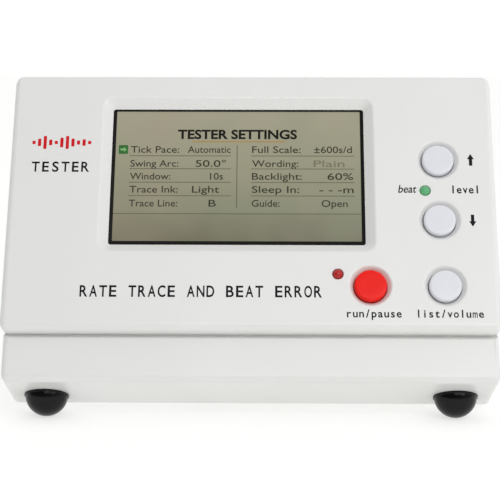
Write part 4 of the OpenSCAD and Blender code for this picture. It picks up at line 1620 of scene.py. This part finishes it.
# Pressed paper pulp: dull brown-black with pale fibres.
PAPER = Speckled("pressed paper pulp", "#3c342d", "#2f2923", 0.85, 0.06, 1.45, drift_mm=4.0, grain_mm=0.4,
                 grain_depth_mm=0.05, fleck="#83776a", fleck_mm=0.7)
# Sintered ferrite: dark grey with a fine sparkle.
FERRITE = Speckled("sintered ferrite", "#3f4145", "#33353a", 0.6, 0.07, 1.6, drift_mm=4.0, grain_mm=0.3,
                   grain_depth_mm=0.02, fleck="#8b8e94", fleck_mm=0.4)
# PVC wire covering: soft red with a low gloss.
WIRE_PVC = Finish("red PVC covering", "#a8231d", "#961d18", 0.4, 0.06, 1.53, drift_mm=5.0, grain_mm=0.4,
                  grain_depth_mm=0.01)
# Black thermoplastic of the sockets.
SOCKET_PBT = Finish("moulded black PBT", "#17181a", "#1f2022", 0.36, 0.06, 1.53, drift_mm=5.0,
                    grain_mm=0.4, grain_depth_mm=0.008)
# Pad-printing inks: thin, flat and slightly uneven along their edges.
BLACK_INK = Finish("black pad-printing ink", "#0d0d12", "#15151a", 0.5, 0.08, 1.5, drift_mm=2.5,
                   grain_mm=0.5, grain_depth_mm=0.004, specular=0.12)
RED_INK = Finish("red pad-printing ink", "#c8101c", "#d01c27", 0.5, 0.08, 1.5, drift_mm=2.5,
                 grain_mm=0.5, grain_depth_mm=0.004, specular=0.12)
# What the display draws: characters, thin rules, a yellow line and a green marker.
DRAWN_DARK = Shining("display characters", "#2c2b22", "#36352a", 0.45, glow=0.3, drift_mm=3.0, specular=0.1)
DRAWN_BOLD = Shining("display title", "#0a0a08", "#12120e", 0.45, glow=0.2, drift_mm=3.0, specular=0.1)
DRAWN_RULE = Shining("display rules", "#4e4e3e", "#5a5a48", 0.45, glow=0.45, drift_mm=4.0, specular=0.1)
DRAWN_PALE = Shining("display dimmed characters", "#5f5c49", "#686551", 0.45, glow=0.5, drift_mm=3.0,
                     specular=0.1)
DRAWN_YELLOW = Shining("display underline", "#8f7440", "#876e40", 0.45, glow=0.5, drift_mm=3.0,
                       specular=0.1)
DRAWN_GREEN = Shining("display marker", "#275527", "#2f6030", 0.45, glow=0.4, drift_mm=2.0, specular=0.1)
DRAWN_LIGHT = Shining("display marker's arrow", "#6f9b63", "#69945f", 0.45, glow=0.5, drift_mm=2.0,
                      specular=0.1)


def lit_glass(panel: PanelPlace) -> LitDisplay:
    """The display's face: a matt anti-glare film over a grey-green picture that darkens downwards.

    Args:
        panel: The panel's coordinates.

    Returns:
        The display's finish.
    """
    return LitDisplay("anti-glare display glass", "#131410", "#171813", 0.42, 0.04, 1.5, panel=panel,
                      drift_mm=20.0, grain_mm=0.4, grain_depth_mm=0.003, specular=0.3, glow=0.86,
                      shades=((37.0, "#73705a"), (48.32, "#84836c"), (50.58, "#8b8c74"),
                              (70.96, "#9d9b82"), (93.6, "#a8a38c")))


def lamp_resin(name: str, panel: PanelPlace, place: tuple[float, float], colours: tuple[str, str, str],
               glow: float) -> TintedEpoxy:
    """Cast epoxy of a lamp with painted light: from painted shade at its rim through its own colour to a
    painted glow at the die.

    Args:
        name: The material's name.
        panel: The panel's coordinates.
        place: Where the lamp stands, across the panel and up it.
        colours: The painted shade of the rim, the resin's own colour and the painted glow of the die.
        glow: How strongly it shines.

    Returns:
        The lamp's finish.
    """
    # The rim's colour is painted shade and the die's colour is a painted glow.
    rim, body, die = colours
    return TintedEpoxy(name, body, body, 0.08, 0.02, 1.54, panel=panel, centre=(*place, -0.6), radius=3.0,
                       shades=((0.28, rim), (0.42, body), (0.66, die)), glow=glow, coat=0.15,
                       specular=0.3)


# ---------------------------------------------------------------- the display, the legends, the inner pieces

@dataclass(frozen=True)
class Carried:
    """A CAD piece whose shape is kept: a merged copy with its outer edges a little softened.

    Attributes:
        node: The CAD node.
        finish: What it is made of.
        slot: The record's slot for that finish.
        soften: Radius of the softened edges, in millimetres.
        body: The body that it rides on.
    """

    node: str
    finish: Finish
    slot: Slot
    soften: float = 0.15
    body: str = "root"

    def build(self) -> bpy.types.Object:
        """Makes the copy, softens its outer edges and dresses it.

        Returns:
            The finished piece.
        """
        bm = bmesh.new()
        bm.from_mesh(frame["nodes"][self.node].data)
        bmesh.ops.scale(bm, vec=(1 / MM, 1 / MM, 1 / MM), verts=bm.verts)
        bmesh.ops.remove_doubles(bm, verts=bm.verts, dist=1e-4)
        bmesh.ops.dissolve_limit(bm, angle_limit=math.radians(0.5), verts=bm.verts, edges=bm.edges)
        outer = [e for e in bm.edges if e.is_manifold and e.calc_face_angle_signed() > math.radians(40)]
        bmesh.ops.bevel(bm, geom=outer, offset=self.soften, offset_type="OFFSET", segments=2, profile=0.5,
                        affect="EDGES", material=-1, clamp_overlap=True)
        return finished(f"{self.node}_piece", bm, self.finish, self.slot, self.body, [self.node],
                        sharp_deg=40)


@dataclass(frozen=True)
class Row:
    """One line of the display's table: a label and its value, with where each of them ends."""

    label: str
    label_right: float
    value: str
    value_left: float
    value_right: float
    dimmed: bool = False


@dataclass
class Display:
    """What the display draws: a title with its underline, a marker and a table of settings."""

    panel: PanelPlace
    level: float = -4.07
    thickness: float = 0.05
    cap_h: float = 3.0
    title_h: float = 4.0
    baselines: tuple[float, ...] = (75.15, 69.1, 63.6, 58.0, 52.1)
    left_label: float = -48.0
    right_label: float = 0.1
    rules: tuple[float, ...] = (73.8, 68.2, 62.4, 56.65)
    rule_t: float = 0.3
    left_rows: tuple[Row, ...] = (
        Row("Tick Pace:", -28.8, "Automatic", -25.4, -8.4), Row("Swing Arc:", -29.0, "50.0°", -22.2, -10.2),
        Row("Window:", -32.0, "10s", -16.4, -11.3), Row("Trace Ink:", -29.0, "Light", -23.4, -12.7),
        Row("Trace Line:", -29.0, "B", -16.8, -13.9))
    right_rows: tuple[Row, ...] = (
        Row("Full Scale:", 19.3, "±600s/d", 24.6, 39.6), Row("Wording:", 18.4, "Plain", 24.4, 36.6, True),
        Row("Backlight:", 19.7, "60%", 29.8, 39.9), Row("Sleep In:", 18.7, "- - -m", 26.6, 40.0),
        Row("Guide:", 11.0, "Open", 27.4, 37.6))

    def build(self) -> None:
        """Draws everything on the display's face."""
        ink = Lettering(self.panel, self.level, self.thickness)
        dark, pale = [], []
        for rows, start in ((self.left_rows, self.left_label), (self.right_rows, self.right_label)):
            for row, baseline in zip(rows, self.baselines):
                dark += ink.line(row.label, start, row.label_right, baseline, self.cap_h, 0.006)
                (pale if row.dimmed else dark).extend(
                    ink.line(row.value, row.value_left, row.value_right, baseline, self.cap_h, 0.006))
        self.draw("display_characters", dark, DRAWN_DARK)
        self.draw("display_dimmed_word", pale, DRAWN_PALE)
        self.draw("display_title", ink.line("TESTER SETTINGS", -29.5, 17.9, 81.3, self.title_h, 0.03),
                  DRAWN_BOLD)
        self.draw("display_rules", self.ruled(ink), DRAWN_RULE)
        self.draw("display_underline", [ink.bar(-23.8, 13.1, 79.75, 80.25)], DRAWN_YELLOW)
        self.draw("display_marker", [ink.bar(-52.8, -49.1, 74.6, 78.4, 0.3)], DRAWN_GREEN)
        above = Lettering(self.panel, self.level + self.thickness / 2, self.thickness)
        self.draw("display_marker_arrow", self.pointer(above), DRAWN_LIGHT)

    def ruled(self, ink: Lettering) -> list[tuple[BMesh, Matrix]]:
        """The thin lines under the rows, between the columns and across the foot.

        Args:
            ink: What draws them.

        Returns:
            The lines, each with its place.
        """
        half = self.rule_t / 2
        made = [ink.bar(left, right, rule - half, rule + half)
                for left, right in ((self.left_label - 0.4, -8.2), (self.right_label - 0.4, 40.4))
                for rule in self.rules]
        made.append(ink.bar(-6.0, -5.65, 51.6, 78.5))
        made.append(ink.bar(-54.0, 42.8, 48.9, 49.2))
        return made

    def pointer(self, ink: Lettering) -> Iterable[tuple[BMesh, Matrix]]:
        """The small arrow in the marker, pointing right.

        Args:
            ink: What draws it.

        Yields:
            Its head and its stem, each with its place.
        """
        upright = self.panel.matrix(0, 0, ink.level).inverted()
        turned = self.panel.matrix(-50.95, 76.5, ink.level) @ Matrix.Rotation(-math.pi / 2, 4, "Z") @ upright
        for bm, place in ink.arrow(0, -1.2, 1.3, 2.2, 0.8):
            yield bm, turned @ place

    def draw(self, name: str, parts: Iterable[tuple[BMesh, Matrix]], finish: Finish) -> None:
        """Makes one piece of what is drawn in one colour."""
        finished(name, gather(parts), finish, Slot.GLASS)


@dataclass
class Legends:
    """Printed words and signs on the panel."""

    panel: PanelPlace
    level: float = 0.0
    thickness: float = 0.04
    pulse_left: float = -86.6
    pulse_pitch: float = 2.2
    pulse_bar: float = 1.25
    pulse_middle: float = 77.6
    pulse_heights: tuple[float, ...] = (1.4, 3.2, 5.6, 2.4, 1.4, 4.2, 5.6, 3.4, 1.8, 2.8, 1.4)

    def build(self) -> None:
        """Prints everything."""
        ink = Lettering(self.panel, self.level, self.thickness)
        pulse = [ink.bar(self.pulse_left + i * self.pulse_pitch, self.pulse_left + i * self.pulse_pitch
                         + self.pulse_bar, self.pulse_middle - tall / 2, self.pulse_middle + tall / 2, 0.3)
                 for i, tall in enumerate(self.pulse_heights)]
        finished("printed_pulse_sign", gather(pulse), RED_INK, Slot.SHELL)
        self.printed("printed_heading", ink.even_line("TESTER", -86.7, 65.1, 4.4, 3.9))
        self.printed("printed_line", ink.even_line("RATE TRACE AND BEAT ERROR", -65.35, 13.4, 4.7, 3.71))
        self.printed("printed_word_run", ink.even_line("run/pause", 36.0, 5.5, 3.2, 2.36))
        self.printed("printed_word_list", ink.even_line("list/volume", 62.2, 5.5, 3.2, 2.36))
        self.printed("printed_word_level", ink.even_line("level", 77.2, 56.3, 3.4, 2.34))
        self.printed("printed_word_beat", ink.line("beat", 57.0, 64.2, 56.5, 3.4, 0.012, 0.2))
        self.printed("printed_arrow_up", ink.arrow(85.65, 68.0, 73.0, 2.7, 1.25))
        self.printed("printed_arrow_down", ink.arrow(85.4, 47.3, 42.3, 2.7, 1.25))

    @staticmethod
    def printed(name: str, parts: Iterable[tuple[BMesh, Matrix]]) -> None:
        """Makes one printed piece in black."""
        finished(name, gather(parts), BLACK_INK, Slot.SHELL)


@dataclass
class InnerPieces:
    """Everything that keeps its CAD shape: the display's stack, the boards and what stands on them."""

    panel: PanelPlace

    def pieces(self) -> Iterable[Carried]:
        """Each piece with its finish.

        Yields:
            The pieces.
        """
        yield Carried("display_glass", lit_glass(self.panel), Slot.GLASS, 0.1)
        yield Carried("display_frame", BLACK_ENAMEL, Slot.FRAME, 0.12)
        yield Carried("display_gasket", FOAM, Slot.FOAM, 0.1)
        yield Carried("display_backlight", LIGHT_GUIDE, Slot.BACKLIGHT)
        for node in ("display_board", "key_board", "main_board"):
            yield Carried(node, BOARD, Slot.BOARD, 0.1)
        for node in ("display_driver_chip", "processor_chip", "voltage_regulator"):
            yield Carried(node, CHIP_EPOXY, Slot.CHIP, 0.2)
        for node in ("display_socket", "key_board_socket", "main_display_socket", "main_key_socket",
                     "speaker_socket", "lamp_spacers"):
            yield Carried(node, NYLON, Slot.CONNECTOR)
        for node in ("display_ribbon", "key_ribbon"):
            yield Carried(node, FLAT_RIBBON, Slot.RIBBON, 0.05)
        for node in ("case_screws", "display_screws", "key_board_screws", "main_board_screws",
                     "speaker_screws"):
            yield Carried(node, ZINC, Slot.SCREW, 0.12)
        for name in ("up", "down", "menu", "start"):
            yield Carried(f"switch_{name}", SWITCH_NYLON, Slot.SWITCH)
            yield Carried(f"plunger_{name}", ACETAL, Slot.PLUNGER, 0.2, f"{name}_key")
        yield Carried("clock_crystal", TIN, Slot.SHIELD, 0.3)
        yield Carried("amplifier_shield", TIN, Slot.SHIELD, 0.3)
        yield Carried("smoothing_capacitors", SLEEVE, Slot.CAPACITOR, 0.4)
        yield Carried("speaker_frame", FRAME_STEEL, Slot.SPEAKER, 0.1)
        yield Carried("speaker_cone", PAPER, Slot.CONE, 0.05)
        yield Carried("speaker_magnet", FERRITE, Slot.MAGNET, 0.4)
        yield Carried("speaker_wires", WIRE_PVC, Slot.WIRE, 0.05)
        yield Carried("power_inlet", SOCKET_PBT, Slot.SOCKET, 0.2)
        yield Carried("power_inlet_pin", NICKEL, Slot.CONTACT, 0.1)
        yield Carried("microphone_socket", SOCKET_PBT, Slot.SOCKET, 0.2)
        yield Carried("microphone_socket_nut", NICKEL, Slot.CONTACT, 0.2)

    def build(self) -> None:
        """Builds them all."""
        for piece in self.pieces():
            piece.build()


# ---------------------------------------------------------------- the studio

@dataclass(frozen=True)
class SoftLight:
    """A soft box: where it stands, what it looks at, its width and height in metres, and its watts."""

    name: str
    place: tuple[float, float, float]
    aim: tuple[float, float, float]
    size: tuple[float, float]
    power: float

    def build(self) -> None:
        """Sets the light up."""
        lamp = bpy.data.lights.new(self.name, "AREA")
        lamp.shape = "RECTANGLE"
        lamp.size, lamp.size_y = self.size
        lamp.energy = self.power
        holder = bpy.data.objects.new(self.name, lamp)
        bpy.context.scene.collection.objects.link(holder)
        holder.location = self.place
        holder.rotation_euler = (Vector(self.aim) - Vector(self.place)).to_track_quat("-Z", "Y").to_euler()


@dataclass
class Studio:
    """A white studio: pale floor, light all round that is brightest behind, soft boxes, and the camera."""

    front: str = "#4e4e4e"
    behind: str = "#ffffff"
    strength: float = 0.9
    backdrop: float = 1.15
    brightest: tuple[float, float, float] = (0.18, 0.6, 0.78)
    floor_size: float = 30.0
    camera_mm: tuple[float, float, float] = (7.73, -600.3, 136.35)
    camera_deg: tuple[float, float, float] = (82.855, -0.074, 0.821)
    lens: float = 108.0
    lights: tuple[SoftLight, ...] = (
        SoftLight("front soft box", (0.5, -1.75, 1.16), (0.0, 0.0, 0.06), (1.6, 0.7), 14.0),
        SoftLight("side soft box", (0.42, -0.45, 0.3), (0.0, 0.0, 0.06), (0.25, 0.25), 0.5))

    def build(self) -> None:
        """Sets up the floor, the light and the camera."""
        scene = bpy.context.scene
        scene.view_settings.view_transform = "Standard"
        world = bpy.data.worlds.new("white surround")
        world.use_nodes = True
        world.node_tree.nodes.clear()
        ways = add_node(world.node_tree, "ShaderNodeTexCoord")
        facing = add_node(world.node_tree, "ShaderNodeVectorMath", {"operation": "DOT_PRODUCT"},
                          {0: ways.outputs["Generated"], 1: self.brightest})
        shade = layered(world.node_tree, linear(self.front), [
            Layer(facing.outputs["Value"], -0.3, 0.5, self.behind)])
        glow = add_node(world.node_tree, "ShaderNodeBackground", inputs={
            "Color": shade, "Strength": self.strength})
        wall = add_node(world.node_tree, "ShaderNodeBackground", inputs={
            "Color": linear(self.behind), "Strength": self.backdrop})
        rays = add_node(world.node_tree, "ShaderNodeLightPath")
        both = add_node(world.node_tree, "ShaderNodeMixShader", inputs={
            0: rays.outputs["Is Camera Ray"], 1: glow.outputs["Background"], 2: wall.outputs["Background"]})
        add_node(world.node_tree, "ShaderNodeOutputWorld", inputs={"Surface": both.outputs["Shader"]})
        scene.world = world
        for light in self.lights:
            light.build()
        self.floor()
        camera = bpy.data.cameras.new("camera")
        camera.lens = self.lens
        camera.clip_start = 0.01
        holder = bpy.data.objects.new("camera", camera)
        holder.location = [share * MM for share in self.camera_mm]
        holder.rotation_euler = Euler([math.radians(turn) for turn in self.camera_deg])
        scene.collection.objects.link(holder)
        scene.camera = holder

    def floor(self) -> None:
        """Lays the pale floor: an opal light table with a slight mottle, which keeps the shadows soft."""
        bm = bmesh.new()
        bmesh.ops.create_grid(bm, x_segments=1, y_segments=1, size=self.floor_size / 2)
        floor = as_object("studio_floor", bm)
        floor.data.materials.append(Shining("opal acrylic light table", "#a8a8a7", "#a5a5a4", 0.75, 0.03,
                                            1.49, drift_mm=120.0, grain_mm=3.0, specular=0.2,
                                            glow=1.7).material())


def main() -> None:
    """Builds every piece of the tester in its place, then the studio round it."""
    logging.basicConfig(level=logging.INFO, format="%(name)s: %(message)s")
    housing = Housing()
    panel = housing.panel
    upper = UpperShell(housing)
    lower = LowerShell(housing)
    upper.build(WHITE_ABS)
    lower.build(WHITE_ABS)
    Feet(housing, lower).build(BLACK_RUBBER)
    Keys(panel, upper).build(KEY_ABS, RED_ABS)
    signal, run = upper.lamp_places
    # Each lamp's resin carries painted shade at its rim and a painted glow at its die.
    Lamps(panel, upper).build(
        lamp_resin("green cast epoxy", panel, signal, ("#34734a", "#5da873", "#b4e6bd"), 0.34),
        lamp_resin("red cast epoxy", panel, run, ("#6a1012", "#b41c1a", "#ec5e44"), 0.24))
    InnerPieces(panel).build()
    Display(panel).build()
    Legends(panel).build()
    Studio().build()


if __name__ == "__main__":
    main()
